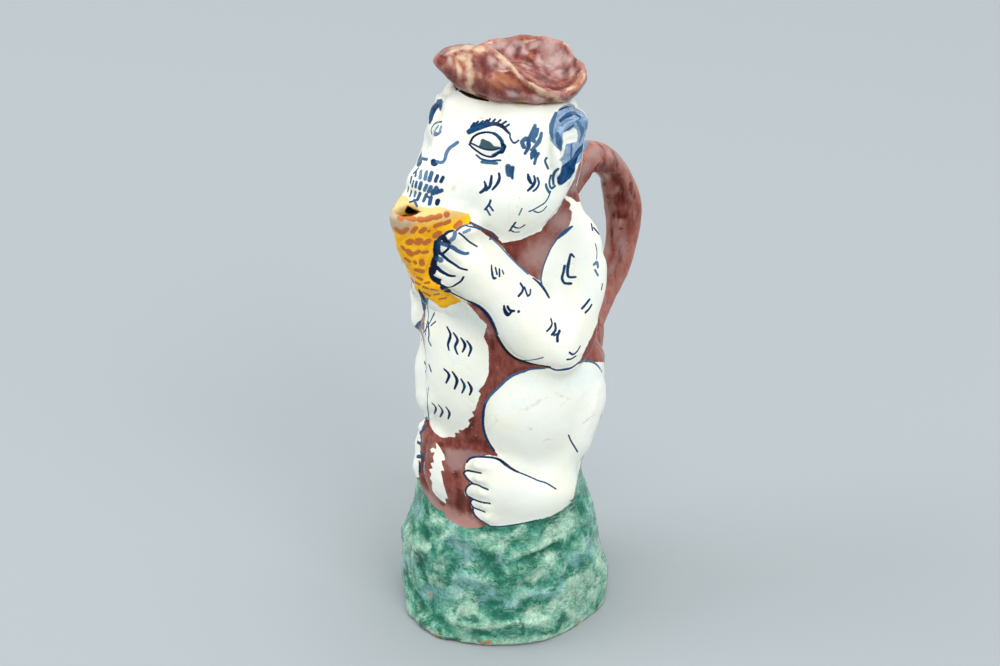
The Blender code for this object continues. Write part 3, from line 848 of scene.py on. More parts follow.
def thinned(mesh, weights, triangles):
    # fewer triangles where the weight is high, none lost where it is 0
    thing = bpy.data.objects.new("thinning", mesh)
    bpy.context.scene.collection.objects.link(thing)
    group = thing.vertex_groups.new(name="spare")
    for level in range(1, 11):
        chosen = np.nonzero(np.round(weights * 10) == level)[0]
        group.add(chosen.tolist(), level / 10, "REPLACE")
    press = thing.modifiers.new("thin", "DECIMATE")
    press.ratio = triangles / (2 * len(mesh.polygons))
    press.vertex_group = group.name
    press.vertex_group_factor = 1.0
    press.use_collapse_triangulate = True
    bpy.context.view_layer.update()
    made = bpy.data.meshes.new_from_object(thing.evaluated_get(bpy.context.evaluated_depsgraph_get()))
    bpy.data.objects.remove(thing)
    bpy.data.meshes.remove(mesh)
    return made


def makePiece(mesh, node):
    piece = bpy.data.objects.new(node + "Piece", mesh)
    bpy.context.scene.collection.objects.link(piece)
    mesh.polygons.foreach_set("use_smooth", [True] * len(mesh.polygons))
    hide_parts(node)
    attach(piece, "root")


# brush strokes as (width, tone, picks): width and picks in pixels of the photograph, tone from
# 0 for a pale wash to 1 for navy; the dabs of the basket are (width, picks)
faceStrokes = [
    ((3, 2.6, 1.6), 0.95, ((496, 124), (501, 126), (505, 129), (509, 133))),
    (1.3, 0.7, ((508, 132.5), (510, 133.5), (510, 137), (511.5, 140.5), (513.5, 142.8), (515.5, 142.8),
                (518.5, 140.3))),
    (1.5, 0.8, ((471, 127), (474, 123))),
    (1.5, 0.8, ((474, 126), (478, 121.5))),
    (1.5, 0.8, ((478, 125), (483, 121))),
    (1.5, 0.8, ((483, 124), (487, 120))),
    (1.5, 0.8, ((487, 123.5), (490, 119))),
    (1.5, 0.8, ((492, 123), (495, 119.5))),
    (1.5, 0.8, ((496.5, 123.5), (500.5, 120))),
    (1.5, 0.8, ((501, 125), (506, 121.5))),
    (1.5, 0.8, ((504.5, 127.5), (509, 124.5))),
    (1.6, 0.9, ((469.5, 144.5), (470.5, 142), (473, 137.5), (477, 134.5), (482, 132.8), (487, 132.3),
                (492, 133), (496, 135), (499.5, 139), (502, 142.5), (504.5, 146), (504.5, 149),
                (502.5, 152.5))),
    (1.4, 0.9, ((469.5, 144.5), (473, 148), (477, 151), (481, 153.8), (486, 156), (491, 156.8), (495, 156),
                (498, 153.5), (502, 151.5))),
    (1.3, 0.8, ((471.5, 143.5), (475, 145), (479, 147), (484, 149), (490, 150), (496, 149.5), (500, 148))),
    (1.4, 0.7, ((476.5, 155), (480.5, 158.5), (486, 160.3), (492, 160.8), (497, 160.3), (500.5, 160.3))),
    (2.2, 0.45, ((482, 162), (488, 162.6), (496.5, 163.3))),
    (2.2, 0.6, ((494, 133.5), (499, 137), (502.5, 142))),
    ((2.4, 2.6, 2.2), 0.35, ((457.5, 142.5), (454, 145), (450, 147.8), (447.5, 151), (446, 155), (445, 159),
                             (443, 162), (440, 162.5), (437, 161.5))),
    ((3, 7, 5), 0.6, ((421, 153), (419.5, 158), (419.5, 164))),
    (2.4, 0.5, ((421, 158.5), (427, 159.5))),
    (1.6, 0.6, ((441.5, 121.8), (437, 122.5), (433.5, 125), (431, 130), (432, 134))),
    ((2.4, 3.4, 2), 0.35, ((438, 126.5), (435, 130), (434, 133), (437, 134.5), (440.5, 132))),
    (2.6, 0.1, ((441, 127), (440, 131))),
    (1.8, 0.8, ((418, 168.5), (413.5, 173.5))),
    (2.2, 0.5, ((416, 171), (415.5, 176))),
    (2.6, 0.25, ((421, 171), (420, 178))),
    (2.8, 0.35, ((426.5, 172), (425, 179))),
    (3.2, 0.5, ((431.5, 173), (429.5, 180))),
    (2.6, 0.7, ((437.5, 176), (435.5, 181))),
    (2.6, 0.8, ((443, 177.5), (441, 181.5))),
    (2.4, 0.6, ((411.5, 177), (410.5, 182))),
    (2.0, 0.4, ((413.5, 181), (412, 186.5))),
    (2.2, 0.5, ((416.5, 182), (415.5, 187))),
    (2.8, 0.5, ((421, 183), (419.5, 188.5))),
    (2.6, 0.4, ((426.5, 185.5), (424.5, 190))),
    (2.8, 0.5, ((431, 187), (428.5, 191.5))),
    (3.2, 0.6, ((436.5, 188), (432.5, 193.5))),
    (3.0, 0.65, ((441.5, 190.5), (436, 192.5))),
    (2.0, 0.6, ((408.5, 187), (407.8, 191))),
    (2.2, 0.4, ((411.5, 191), (410, 196))),
    (2.2, 0.3, ((415.5, 192), (414.5, 196))),
    (2.6, 0.5, ((420, 193.5), (417.5, 199.5))),
    (2.4, 0.5, ((426.5, 194.5), (423.5, 201))),
    (2.8, 0.6, ((431, 197.5), (429.5, 204))),
    (1.8, 0.5, ((426, 195.5), (431, 199))),
    (3.2, 0.9, ((438, 200.8), (437, 203.5))),
    (2.0, 0.5, ((414, 200), (417, 206))),
    (1.6, 0.8, ((410, 202), (415, 200.5), (418, 199))),
]
cheekStrokes = [
    ((2.4, 4.4, 3), 0.45, ((535, 125.5), (533.5, 131), (532, 136), (534, 141))),
    ((2, 4.2, 2), 0.45, ((538, 129), (535, 135), (531, 140))),
    ((2, 3.4, 2), 0.6, ((530.5, 135), (528.5, 140), (528.5, 147), (525, 153.5))),
    (3.0, 0.5, ((526, 138.5), (522, 142), (524, 147))),
    ((2, 3.4, 1.6), 0.4, ((541.5, 133), (540, 139), (536, 145.5), (531, 150))),
    (4.2, 0.6, ((534, 151.5), (535, 155))),
    (2.2, 0.6, ((531.5, 153.5), (531.5, 158))),
    (2.2, 0.5, ((538.5, 153.5), (536, 158), (534.5, 163.5))),
    (1.6, 0.6, ((546.5, 158), (545, 161), (546.5, 165), (548, 168.5))),
    (4.2, 0.6, ((508, 167), (509, 174))),
    ((3, 3.4, 1.6), 0.7, ((512.5, 168), (511.5, 173), (512.5, 178.5))),
    ((1.2, 2.6, 2), 0.8, ((484.5, 181.5), (485.8, 186), (485, 189), (480.5, 192.5))),
    ((1.6, 2.4, 1.6), 0.8, ((491.5, 176), (491, 181), (489.5, 187), (486, 190.5))),
    ((1.6, 2.4, 1.4), 0.8, ((499, 173.5), (499.5, 178), (497.5, 183.5), (492.5, 189.5))),
    ((1.6, 3, 2), 0.85, ((528, 174.5), (529, 179), (531, 183))),
    ((1.4, 2.6, 1.6), 0.8, ((534, 176), (535, 181), (532.5, 186), (528, 190.5))),
    (1.6, 0.7, ((537.5, 178), (539, 183), (537, 188), (533.5, 191))),
    (2.0, 0.6, ((558, 169), (554.5, 172.5), (553, 178), (553.5, 184))),
    (1.6, 0.6, ((551, 175.5), (549.5, 181), (550, 186.5), (552, 188.5), (555, 186))),
    (2.0, 0.5, ((546, 184.5), (546.5, 187.5), (549.5, 192.5))),
    (1.1, 0.7, ((550.5, 191.5), (548, 198), (544.5, 203), (539, 206.5), (533, 210), (529, 211.5))),
    (1.1, 0.6, ((546.5, 206.5), (543, 210.5), (538, 212.5), (534, 211))),
    (1.6, 0.7, ((490.5, 200.5), (489, 204.5), (485, 209.5))),
    (1.4, 0.7, ((489, 205), (493, 210.5))),
    (1.4, 0.6, ((486.5, 209), (490, 215))),
    (1.0, 0.5, ((522, 208.5), (519, 215))),
    (1.5, 0.8, ((515.5, 222.5), (512.5, 226.5), (509.5, 231))),
    (1.5, 0.8, ((512.5, 226), (517, 228), (521, 227.5), (524.5, 225))),
    (1.4, 0.8, ((510.5, 230), (514, 232), (519, 232))),
    (1.2, 0.65, ((470, 222), (477, 225.5), (485, 229.5), (492, 232.5), (498, 238))),
]
earStrokes = [
    ((2, 3.2, 2.4), 0.66, ((560, 121), (565, 117), (570, 115.5), (575, 114), (580, 117))),
    ((1.6, 2.6, 2), 0.5, ((566, 114.5), (571, 113), (576, 112.5))),
    ((2, 3.5, 2), 0.55, ((565, 131), (568, 129), (573, 126))),
    (1.2, 0.7, ((559.5, 110), (565, 107.5), (571, 106.5))),
    ((3, 5, 2.4), 0.55, ((557, 134), (559.5, 142), (561, 150))),
    ((2.4, 3.6, 2.4), 0.34, ((577, 121), (582, 130), (580, 141))),
    ((2, 3.4, 2), 0.42, ((556, 113), (552.5, 122), (551, 131), (553, 139))),
    ((2.4, 3.4, 2.4), 0.26, ((562, 125), (566, 121), (572, 119.5))),
    ((2, 2.6, 2), 0.4, ((571, 145), (571.5, 150), (571, 157))),
    ((2, 2.6, 2), 0.24, ((586, 122), (587.5, 132), (586, 144), (582, 153))),
    ((1.4, 2, 1.4), 0.6, ((583, 144), (580, 150), (575, 157), (570, 162))),
]
handStrokes = [
    (1.3, 0.4, ((455, 232), (458, 229.5), (463, 226), (467, 225.3))),
    (1.2, 0.6, ((467, 226), (475, 227.5), (480, 229.5))),
    (2.2, 0.15, ((470, 229.5), (464, 232.5))),
    ((1.4, 2.2, 1.6), 0.8, ((453, 230.5), (448, 232), (444.5, 235), (442.5, 238.5))),
    (1.3, 0.8, ((459, 233), (463, 236), (469, 241.5), (477, 246.5))),
    ((3.4, 4.6, 2), 1.0, ((443, 236.5), (445.5, 240.5), (450, 243))),
    (3.0, 0.3, ((455, 233), (454, 237.5), (451, 240.5))),
    ((3, 4, 3), 0.8, ((440, 238), (437.5, 243), (438, 249), (438.5, 253))),
    ((2, 2.4, 3), 0.95, ((435.5, 241), (434.5, 249), (436, 256))),
    ((3.4, 5, 4), 1.0, ((436, 256), (434, 262), (434, 268), (433, 272))),
    ((2.4, 3.6, 3), 1.0, ((430.5, 268), (431, 274), (434, 279), (439, 282.5))),
    (4.0, 0.35, ((437.5, 258.5), (440.5, 260))),
    (2.4, 0.9, ((434, 277), (440, 279.5))),
    ((3, 5, 3), 0.95, ((442, 287), (445.5, 289.5), (449, 291))),
    ((3.4, 3, 2), 0.5, ((441, 243), (447, 245), (453, 247.5), (458, 251), (464, 253.5), (468, 253.3))),
    (1.8, 0.9, ((449, 245.5), (448, 249), (443, 253.5))),
    ((2.6, 1.9, 1.4), 0.85, ((438, 251), (443, 255.5), (448, 260), (454, 264), (460, 268), (467, 270))),
    ((2.8, 2.2, 1.6), 0.9, ((437, 267), (441, 271), (446, 274), (450, 275.8), (455, 276))),
    (1.5, 0.9, ((431, 274), (435, 280), (440, 284), (446, 287), (451, 287), (456, 284.5), (461, 281),
                (463.5, 277))),
    (1.3, 0.8, ((441, 285), (446, 289), (452, 293), (460, 297), (467, 300.5))),
    ((2.4, 3, 2.4), 0.9, ((468, 301), (475, 304), (481, 308), (487, 314), (492, 322), (496, 331),
    (497, 334))),
]
armStrokes = [
    (1.2, 0.5, ((520, 360), (525, 360.5), (535, 359.5), (543, 357.5))),
    ((2.6, 2.2, 1.6), 1.2, ((497, 336), (502, 345), (509, 353.5), (518, 359.5), (532, 363.5), (550, 367))),
    ((1.2, 2.4, 1.2), 0.7, ((549, 367.5), (556, 370), (564, 369.5), (572, 367.5), (579, 362))),
    (1.5, 0.4, ((579, 362), (584, 361), (592, 362), (598, 366), (602, 372))),
    ((1.2, 1.0, 1.2), 0.3, ((491, 238), (500, 246), (508, 255), (518, 265), (528, 274))),
    ((1.0, 2, 1.6), 0.8, ((533, 278), (539, 283), (544, 289), (549, 297.5))),
    ((1.5, 3.4, 2), 0.6, ((572, 226.5), (566, 231), (558, 238))),
    (1.2, 0.5, ((558, 238), (551, 248), (547, 257), (543, 268), (541, 280), (543, 288))),
    (1.5, 0.6, ((490, 239), (493, 237.5))),
    ((1.4, 2.2, 1.4), 0.8, ((491.5, 265.5), (492, 272), (493.5, 278.5), (496, 278))),
    (1.8, 0.8, ((495.5, 268), (497, 274))),
    (2.0, 0.8, ((499.5, 269.5), (499.5, 276))),
    (1.8, 0.7, ((502.5, 271), (503.5, 273.5))),
    (2.0, 0.8, ((520.5, 283.5), (523, 288), (522, 292), (518.5, 296))),
    (1.8, 0.8, ((524.5, 287.5), (527, 294.5))),
    (1.6, 0.7, ((530.5, 290), (530, 294.5), (527.5, 296))),
    ((1.6, 3, 2), 0.95, ((504, 306), (505, 311), (508, 315), (511, 312))),
    (2.0, 0.9, ((507.5, 306.5), (510, 310.5), (514, 311))),
    (2.2, 0.8, ((518.5, 311.5),)),
    (1.6, 0.8, ((551, 319), (552, 324), (550, 328), (547, 331))),
    (2.0, 0.8, ((555, 323.5), (555.5, 330), (552, 334.5))),
    (2.2, 0.85, ((559.5, 331), (557.5, 336), (557.5, 341))),
    (1.5, 0.7, ((554, 335.5), (559, 333))),
    ((1.4, 2.4, 1.6), 0.75, ((574, 257), (571, 254), (569.5, 259), (568, 266), (567.5, 273), (569, 277),
                             (575.5, 277))),
    (2.0, 0.75, ((564.5, 266), (563.5, 272), (562, 278), (564.5, 283), (571, 283.5))),
    (1.8, 0.8, ((591.5, 224), (592.5, 230))),
    (2.0, 0.8, ((594, 228), (599, 234))),
    (1.4, 0.7, ((601, 236), (602, 239.5))),
    (1.0, 0.6, ((595.5, 244), (597, 252), (596.5, 259))),
    (2.2, 0.3, ((594, 264.5), (597, 262), (598, 267))),
    (1.6, 0.35, ((595, 270), (598, 275.5))),
    (1.4, 0.6, ((602.5, 284), (601.5, 289.5))),
    (1.8, 0.75, ((589.5, 299.5), (586, 304), (582, 308.5))),
    (1.8, 0.75, ((591.5, 305), (589, 309), (585.5, 312.5))),
    (1.6, 0.8, ((580, 346.5), (577, 351.5), (573, 354.5), (569.5, 352.5))),
    (1.4, 0.8, ((576, 356), (571, 359), (567, 359.5))),
]
legStrokes = [
    ((1.0, 2.0, 1.8), 0.5, ((545, 368.5), (530, 369.5), (518, 373), (508, 378.5), (498, 388), (490, 396),
                             (485, 404))),
    ((2, 2.2, 1.8), 0.8, ((485, 404), (483.5, 412), (483, 424), (485, 434), (489, 443), (494, 450.5))),
    (1.6, 0.8, ((467, 462), (470, 458.5), (476, 457), (484, 457), (492, 457.5))),
    ((1.4, 2.5, 1.4), 0.9, ((492, 457.5), (499, 459.5), (505, 464), (512, 469), (518, 472))),
    (1.1, 0.75, ((518, 472), (528, 476), (538, 480.5), (546, 483), (556, 489))),
    (1.5, 0.8, ((464, 472.5), (467, 470.5), (473, 471.5), (481, 473))),
    (1.6, 0.8, ((463.5, 473), (467, 478.5), (472, 483))),
    (1.5, 0.8, ((472, 483.5), (478, 485), (483, 487.5), (488, 489.5))),
    (1.4, 0.8, ((471, 484), (467, 487), (465.5, 492), (467.5, 496))),
    (1.5, 0.8, ((467.5, 496), (473, 499), (481, 502), (490, 503.5))),
    (1.3, 0.8, ((472.5, 499.5), (470.5, 502.5), (473, 507), (476, 508.5), (480, 510), (485, 512))),
    (1.3, 0.8, ((473, 507), (473.5, 513), (477, 518), (484, 522), (490, 526))),
    (1.2, 0.7, ((490, 526), (500, 526.5), (512, 525), (524, 523), (541, 519))),
    (1.2, 0.6, ((570, 501), (573, 499.5), (575.5, 494))),
    (1.2, 0.7, ((568.5, 435), (571, 441), (575, 447.5), (577.5, 452))),
]
# a painted shadow: a near-black stroke on the head along the hat's lower edge, for the gap under the hat
# that lies in shade
gapShadowStrokes = [
    ((2, 3, 1.2), 1.2, ((454.5, 86), (461, 90.8), (470, 95.4), (479, 98.4), (488, 100.6))),
]
bellyStrokes = [
    (1.8, 0.7, ((428.5, 388), (427.5, 397), (427.5, 405), (428.5, 415), (429, 420))),
    (1.2, 0.6, ((427.5, 306), (428.5, 316), (426.5, 326), (425.5, 336))),
    (1.4, 0.6, ((434.5, 313), (430, 322), (423.5, 333))),
    (1.6, 0.75, ((428, 322), (429, 334), (428.5, 340), (431, 345.5))),
    (1.4, 0.6, ((435.5, 321.5), (431, 325.5))),
    ((1.4, 2.6, 1.4), 0.9, ((447, 327), (450.5, 335), (448, 344), (449, 350))),
    ((1.4, 2.4, 1.4), 0.8, ((453.5, 333), (457.5, 340), (455, 347), (457.5, 354))),
    ((1.2, 2.4, 1.2), 0.9, ((461, 338), (465, 345), (462.5, 352))),
    ((1.2, 2.2, 1.2), 0.8, ((467, 341), (471, 348), (468.5, 356))),
    (2.0, 0.8, ((424.5, 362), (426.5, 367), (425.5, 372))),
    (2.2, 0.8, ((429, 365), (431, 371))),
    (1.8, 0.7, ((426.5, 374), (427, 379))),
    ((1.4, 2.6, 1.4), 0.9, ((444, 369), (449, 375), (446, 383))),
    ((1.4, 2.6, 1.4), 0.9, ((452.5, 372), (457, 380), (454.5, 389))),
    ((1.2, 2.2, 1.2), 0.8, ((461, 379), (464.5, 386), (462, 393))),
    ((1.2, 2.4, 1.2), 0.9, ((468, 382), (471.5, 389), (469.5, 395))),
    ((1.2, 2.2, 1.2), 0.8, ((432, 403), (436, 408), (434, 414))),
    ((1.2, 2.4, 1.2), 0.8, ((438.5, 405), (442.5, 411), (440, 417))),
    ((1.2, 2.4, 1.2), 0.9, ((446, 407), (449.5, 413), (448, 419))),
]
farStrokes = [
    ((1.6, 5, 3), 0.9, ((419, 290), (422.5, 298), (423.5, 306), (424, 311))),
    (3.0, 0.25, ((426.5, 299), (425.5, 305))),
    ((2, 4, 3), 0.6, ((423, 318), (420, 323), (416, 328))),
    (2.2, 0.5, ((401, 260), (402.5, 263))),
    (1.8, 0.4, ((424.5, 418.5), (427.5, 417.5))),
    (2.2, 0.6, ((425, 426), (423.5, 430), (420, 433))),
    (2.4, 0.7, ((422, 440), (420.5, 443.5), (417.5, 442))),
    ((2, 3.4, 2.4), 0.75, ((420.5, 452), (422, 456), (417, 456.5))),
    ((1.6, 2.6, 2), 0.8, ((419, 461), (420, 467), (419.5, 472))),
]
basketDabs = [
    (6.0, ((401, 217.5),)),
    (4.5, ((408, 217.5), (414, 219))),
    (4.5, ((419.5, 219.5), (422, 220))),
    (4.5, ((426.5, 219.5), (432, 217.5))),
    (4.2, ((436, 217.5), (440, 216))),
    (5.2, ((446.5, 214.5),)),
    (4.0, ((435.5, 226), (441, 224))),
    (3.8, ((445, 223.3), (449, 221.5))),
    (4.4, ((456, 226.5), (460, 223))),
    (4.6, ((396.5, 229.5), (402, 232.5), (406.5, 229.5))),
    (4.4, ((413, 231.5), (415.5, 228.5))),
    (4.8, ((421.5, 231.5), (424, 229.5))),
    (2.8, ((428.5, 231),)),
    (5.4, ((435.5, 235.5), (438.5, 233.5))),
    (6.4, ((409.5, 242),)),
    (7.0, ((418.5, 241.5),)),
    (4.8, ((425.5, 243), (428.5, 241))),
    (2.5, ((402, 246.5), (404.5, 249.5))),
    (4.4, ((408, 251), (411.5, 254.5))),
    (4.0, ((416, 253), (418.5, 251.8))),
    (3.4, ((423, 252.5), (427, 252))),
    (3.0, ((405.5, 258.5), (409.5, 261.5))),
    (2.6, ((414.5, 261.5), (415.8, 263.5))),
    (4.4, ((421.5, 261), (422.3, 264))),
    (2.0, ((406.5, 265.5), (408, 268))),
    (3.8, ((416, 270), (422.5, 271.5))),
    (2.8, ((411, 272.5), (413.5, 276))),
    (2.8, ((417.5, 277.5), (421.5, 279.5))),
    (2.4, ((415, 282), (419.5, 284.5))),
    (2.4, ((425.5, 283), (429, 282.5))),
    (2.6, ((423.5, 287), (427.5, 288.5))),
    (2.6, ((431.5, 289.5), (437, 290.5))),
    (2.6, ((435, 294.5), (438.5, 294))),
    (2.0, ((439.5, 299), (446, 298))),
    (2.0, ((423, 292), (430, 296))),
]

# edges of the glazes, as picks in pixels of the photograph
glazeEdges = {
    "jaw": ((380, 60), (380, 205), (404, 215), (440, 222), (470, 222), (477, 225), (492, 232), (500, 241),
            (503, 243), (520, 240), (532, 235), (541, 231), (547, 222), (557, 212), (563, 200),
            (567, 193), (571, 186), (575, 178), (578, 166), (584, 156), (588, 143), (590, 60)),
    "arm": ((436, 226), (470, 224), (480, 230), (490, 238), (500, 244), (505, 250), (518, 265), (530, 275),
            (540, 281), (542, 270), (547, 258), (552, 247), (558, 238), (569, 226), (571, 221), (572, 212),
            (569, 209), (571, 204), (566, 200), (564, 197), (566, 195.5), (571, 197), (577, 202), (585, 200),
            (640, 200), (640, 300), (604, 302), (598, 322),
            (590, 340), (584, 352), (580, 362), (572, 368), (560, 369), (548, 366), (532, 364), (519, 360),
            (507, 352), (498, 340), (496, 330), (490, 318), (484, 310), (476, 305), (468, 303), (452, 296),
            (436, 284), (428, 270)),
    "belly": ((380, 292), (450, 292), (468, 304), (475, 312), (480, 318), (487, 325), (485, 333), (484, 337),
              (488, 345), (489, 355), (489, 370), (488, 376), (484, 384), (478, 392), (481, 393), (478, 402),
              (475, 411), (472, 412), (474, 416), (468, 420), (470, 423), (468, 427), (463, 430), (458, 430),
              (460, 433), (455, 433), (456, 437), (450, 437), (446, 438), (440, 437), (434, 432), (430, 425),
              (429, 420), (421, 414), (380, 410)),
    "leg": ((583, 362), (570, 368), (550, 368), (530, 370), (512, 377), (500, 386), (490, 397), (484, 408),
            (483, 425), (487, 440), (495, 452), (500, 457), (490, 455), (478, 456), (468, 460), (465, 466),
            (465, 471), (463, 473), (467, 480), (471, 484), (466, 487), (464, 492), (466, 496), (472, 499),
            (470, 503), (472, 508), (475, 514), (478, 518), (484, 522), (490, 526), (500, 526.5), (515, 525),
            (530, 522), (542, 519), (552, 516), (562, 510), (570, 504), (574, 498), (577, 490), (579, 480),
            (580, 470), (640, 460), (640, 362)),
    "rock": ((380, 470), (417, 478), (421, 488), (424, 494), (430, 503), (437, 510), (442, 512), (448, 520),
             (455, 525), (465, 529), (478, 529), (485, 526), (500, 527.5), (515, 526), (530, 523),
             (542, 520), (552, 517), (562, 511), (570, 505), (574, 500), (580, 470), (583, 460),
             (640, 440), (640, 700), (340, 700)),
    "basket": ((380, 205), (387, 217), (389, 223), (393, 228), (398, 243), (402, 258), (407, 270),
               (413, 282), (420, 291), (428, 298), (436, 304), (440, 307.5), (446, 308), (451, 305),
               (460, 303), (462, 300.5), (452, 294.5), (444, 289), (440, 285), (434, 280), (430.5, 275),
               (430.5, 269), (432, 263), (434, 257), (436, 250), (436, 241), (440, 238), (443, 236),
               (446, 232.5), (453, 230.5), (459, 229), (463, 226), (468, 224), (471, 222), (470.5, 214),
               (465, 213), (458, 211.5), (450, 210), (442, 207), (435, 206.5), (428, 207.5), (420, 206),
               (412, 202), (405, 195), (392, 197)),
    "ear": ((550, 135), (550, 140), (555, 146), (560, 151), (562, 146), (563.5, 142), (562.5, 137),
            (563, 133), (566, 131), (570, 130.5), (574, 127), (577, 130), (578, 136), (577, 142),
            (571, 143), (566, 144), (564.5, 151), (563, 156), (559, 160), (563, 163), (561, 168),
            (560, 174), (557, 178), (557.5, 184), (560, 186), (565, 183), (572, 177), (575, 171),
            (575.5, 164), (580, 162), (584.5, 155), (585.5, 146), (587, 138), (594, 130), (593, 117),
            (588, 107), (579, 102), (570, 103.5), (561, 107), (556, 113), (552, 122), (550, 129)),
    "brow": ((466, 131), (468, 135), (472, 133.5), (476, 131.5), (480, 130), (484, 128.5), (488, 127.3),
             (492, 126.2), (496, 125.8), (500, 127), (503, 129), (506, 132.5), (509, 134.8), (511, 134),
             (508, 131), (506.5, 128), (504, 125), (500, 123), (496, 122), (490, 121.8), (485, 122),
             (480, 123.2), (475, 124), (471, 127)),
    "iris": ((483, 138.5), (480.5, 140), (480.5, 143), (479, 145.5), (478, 147.5), (481, 148), (485, 149.5),
             (489, 150), (495, 150), (499, 149.5), (501, 148), (500, 146.7), (494, 146.2), (492.5, 144.5),
             (490.5, 142), (488, 141), (485.5, 140)),
    "corner": ((500, 141), (503.5, 143), (506.5, 145), (506.5, 148), (504, 151), (503, 153.5), (501.5, 154),
               (499, 154), (496, 155.5), (493, 157), (490, 156.5), (492, 154.5), (496, 152), (499.5, 150),
               (501, 147), (500.5, 144)),
    "farBrow": ((434.5, 101), (437.5, 99.5), (441.5, 98.8), (443, 101), (442.5, 106), (441.5, 111),
                (439.8, 111), (439, 106.5), (436.5, 110), (434, 115), (432, 121), (430, 124.5), (427.8, 124),
                (428.5, 117), (430, 110), (432, 104.5)),
    "nostril": ((430.5, 159.5), (434, 158.5), (438, 161), (438, 165), (434, 167), (431, 165)),
    # the dark mouth of the pouring hole, painted near black as painted shade
    "hole": ((404, 211), (406, 207), (407, 204.5), (410, 206), (414, 208.5), (420, 210.5), (424, 211.5),
             (417, 214), (410, 215), (405, 213.5)),
    "farHand": ((380, 225), (396, 232), (398, 243), (404, 262), (413, 283), (420, 291), (420, 300),
                (380, 300)),
    "farToes": ((427, 417), (425, 421), (422, 428), (420, 434), (421, 440), (420, 446), (421, 453),
                (421, 460), (419, 466), (419, 473), (419, 478), (400, 478), (400, 412), (425, 414)),
    "wedge": ((426, 298), (429, 297), (427, 304), (425, 312), (424, 330), (422, 341), (418, 334), (414, 329),
              (422, 318), (424, 311)),
    "lobe": ((583, 144), (583.5, 149), (579, 155), (577, 160), (575, 165), (575, 171), (570, 178),
             (562, 185), (557.5, 184), (557, 178), (561, 172), (562, 166), (566, 163), (570, 160),
             (573, 157), (576, 151), (579, 147)),
    "fur": ((435.5, 442), (437.5, 444), (441, 449), (443.5, 453.5), (446.5, 450), (444.5, 455), (445, 460),
            (441.5, 461), (443, 466), (445, 472), (440.5, 469), (442, 476), (443.5, 484), (446, 492),
            (448.5, 500), (445.5, 498), (446, 504), (441, 500), (436, 496), (432.5, 491), (431.5, 486),
            (432.5, 482), (429.5, 478), (431.5, 474), (428.5, 469.5), (432.5, 468), (430, 462), (434, 463),
            (433, 457), (435, 452), (431, 453), (430, 449), (433.5, 447.5), (436.5, 450)),
    "lilac": ((444, 448), (470, 449), (492, 454), (480, 457), (468, 460), (463, 470), (452, 473),
              (445, 462)),
    "pink": ((418, 480), (440, 500), (462, 512), (474, 512), (486, 530), (462, 534), (440, 520), (418, 496)),
}

brushes = {
    "count": 8,
    "gap": 2.3,  # millimetres between the strokes of one layer
    "reach": 1.7,  # millimetres past its edge that a stroke is written on the mesh
    "break": 3,  # millimetres between two hits at which a stroke is broken off
    "swell": 1.45,  # how much the glaze spreads the strokes
    "dabSwell": 1.3,
    "dabTone": 2,  # the orange-brown end of the inks
    "earShift": (0, 0.007, -0.001),  # the far ear is set a little further back
}


# where the glazes lie by the form of the clay, in millimetres
byForm = {
    "most": 9,  # no distance to an edge is written as more
    "head": 207,  # height of the white's lower edge at the back of the head
    "spill": 1.5,  # of the white past an arm or a leg
    "thigh": ((19, 1, 106), (21, 31, 31)),
    "belly": (17, 128, 0.55),  # half width, height of its middle and squeeze
    "rock": (57, 46),  # height of its edge behind, and the height below which all is rock
    "basket": (215, 14, 0.2),  # height of its rim, half width there and taper
    "basketBack": -38,
    "mouth": (0, -57.5),  # the axis of the pouring hole
    "ear": ((33.5, 3, 232), (8, 15, 21)),
    "farEarBack": 5,
}


def laidStrokes(tree, strokes, sides=(1, -1), shift=(0, 0, 0), swell=1.0, convex=False):
    # each stroke as points on the clay with their normals, its half widths in millimetres and its
    # tone; the mirrored ones are left out where the camera sees the clay itself
    eye = photoAxes()[0]
    laid = []
    for widths, tone, picks in strokes:
        widths = widths if isinstance(widths, tuple) else (widths, widths, widths)
        path = alongCurve(picks, 1.0)
        for side in sides:
            move = Vector(shift) if side < 0 else Vector((0, 0, 0))
            hits, sizes = [], []
            for i, pick in enumerate(path):
                hit, normal = castPixel(tree, pick[0], pick[1], side < 0, move)
                if hit is not None and side < 0 and normal.dot((eye - hit).normalized()) > -0.05:
                    start = hit + normal * 0.0008
                    if convex or tree.ray_cast(start, eye - start)[0] is None:
                        hit = None
                if hit is None or (hits and (hit * 1000 - hits[-1][0]).length > brushes["break"]):
                    if len(hits) > 1:
                        laid.append((hits, sizes, tone))
                    hits, sizes = [], []
                if hit is None:
                    continue
                share = 2 * i / max(len(path) - 1, 1)
                low, part = min(int(share), 1), share - min(int(share), 1)
                width = widths[low] + (widths[low + 1] - widths[low]) * part
                hits.append((hit * 1000, normal))
                sizes.append(width * photo["pixel"] * swell / 2)
            if len(hits) > 1:
                laid.append((hits, sizes, tone))
    return laid


def laidFolds(tree, lines, sides):
    # folds are laid as strokes are, with their width and depth kept in millimetres
    unit = photo["pixel"] / 2
    scaled = [(width / unit, depth, picks) for width, depth, picks in lines]
    return laidStrokes(tree, scaled, sides)


def sortedIntoLayers(laid):
    # strokes that lie close together go on different layers
    layers = [[] for _ in range(brushes["count"])]
    crowded = 0
    for points, sizes, tone in laid:
        here = np.array([hit for hit, _ in points])
        room = []
        for layer in layers:
            least = 99.0
            for there, _, others, _ in layer:
                apart = np.linalg.norm(here[:, None] - there[None], axis=2)
                least = min(least, (apart - np.array(sizes)[:, None] - np.array(others)[None]).min())
            room.append(least)
        free = [k for k, least in enumerate(room) if least > brushes["gap"]]
        chosen = free[0] if free else int(np.argmax(room))
        crowded += not free
        layers[chosen].append((here, np.array([normal for _, normal in points]), sizes, tone))
    print("strokes", len(laid), "crowded", crowded, "per layer", [len(layer) for layer in layers])
    return layers


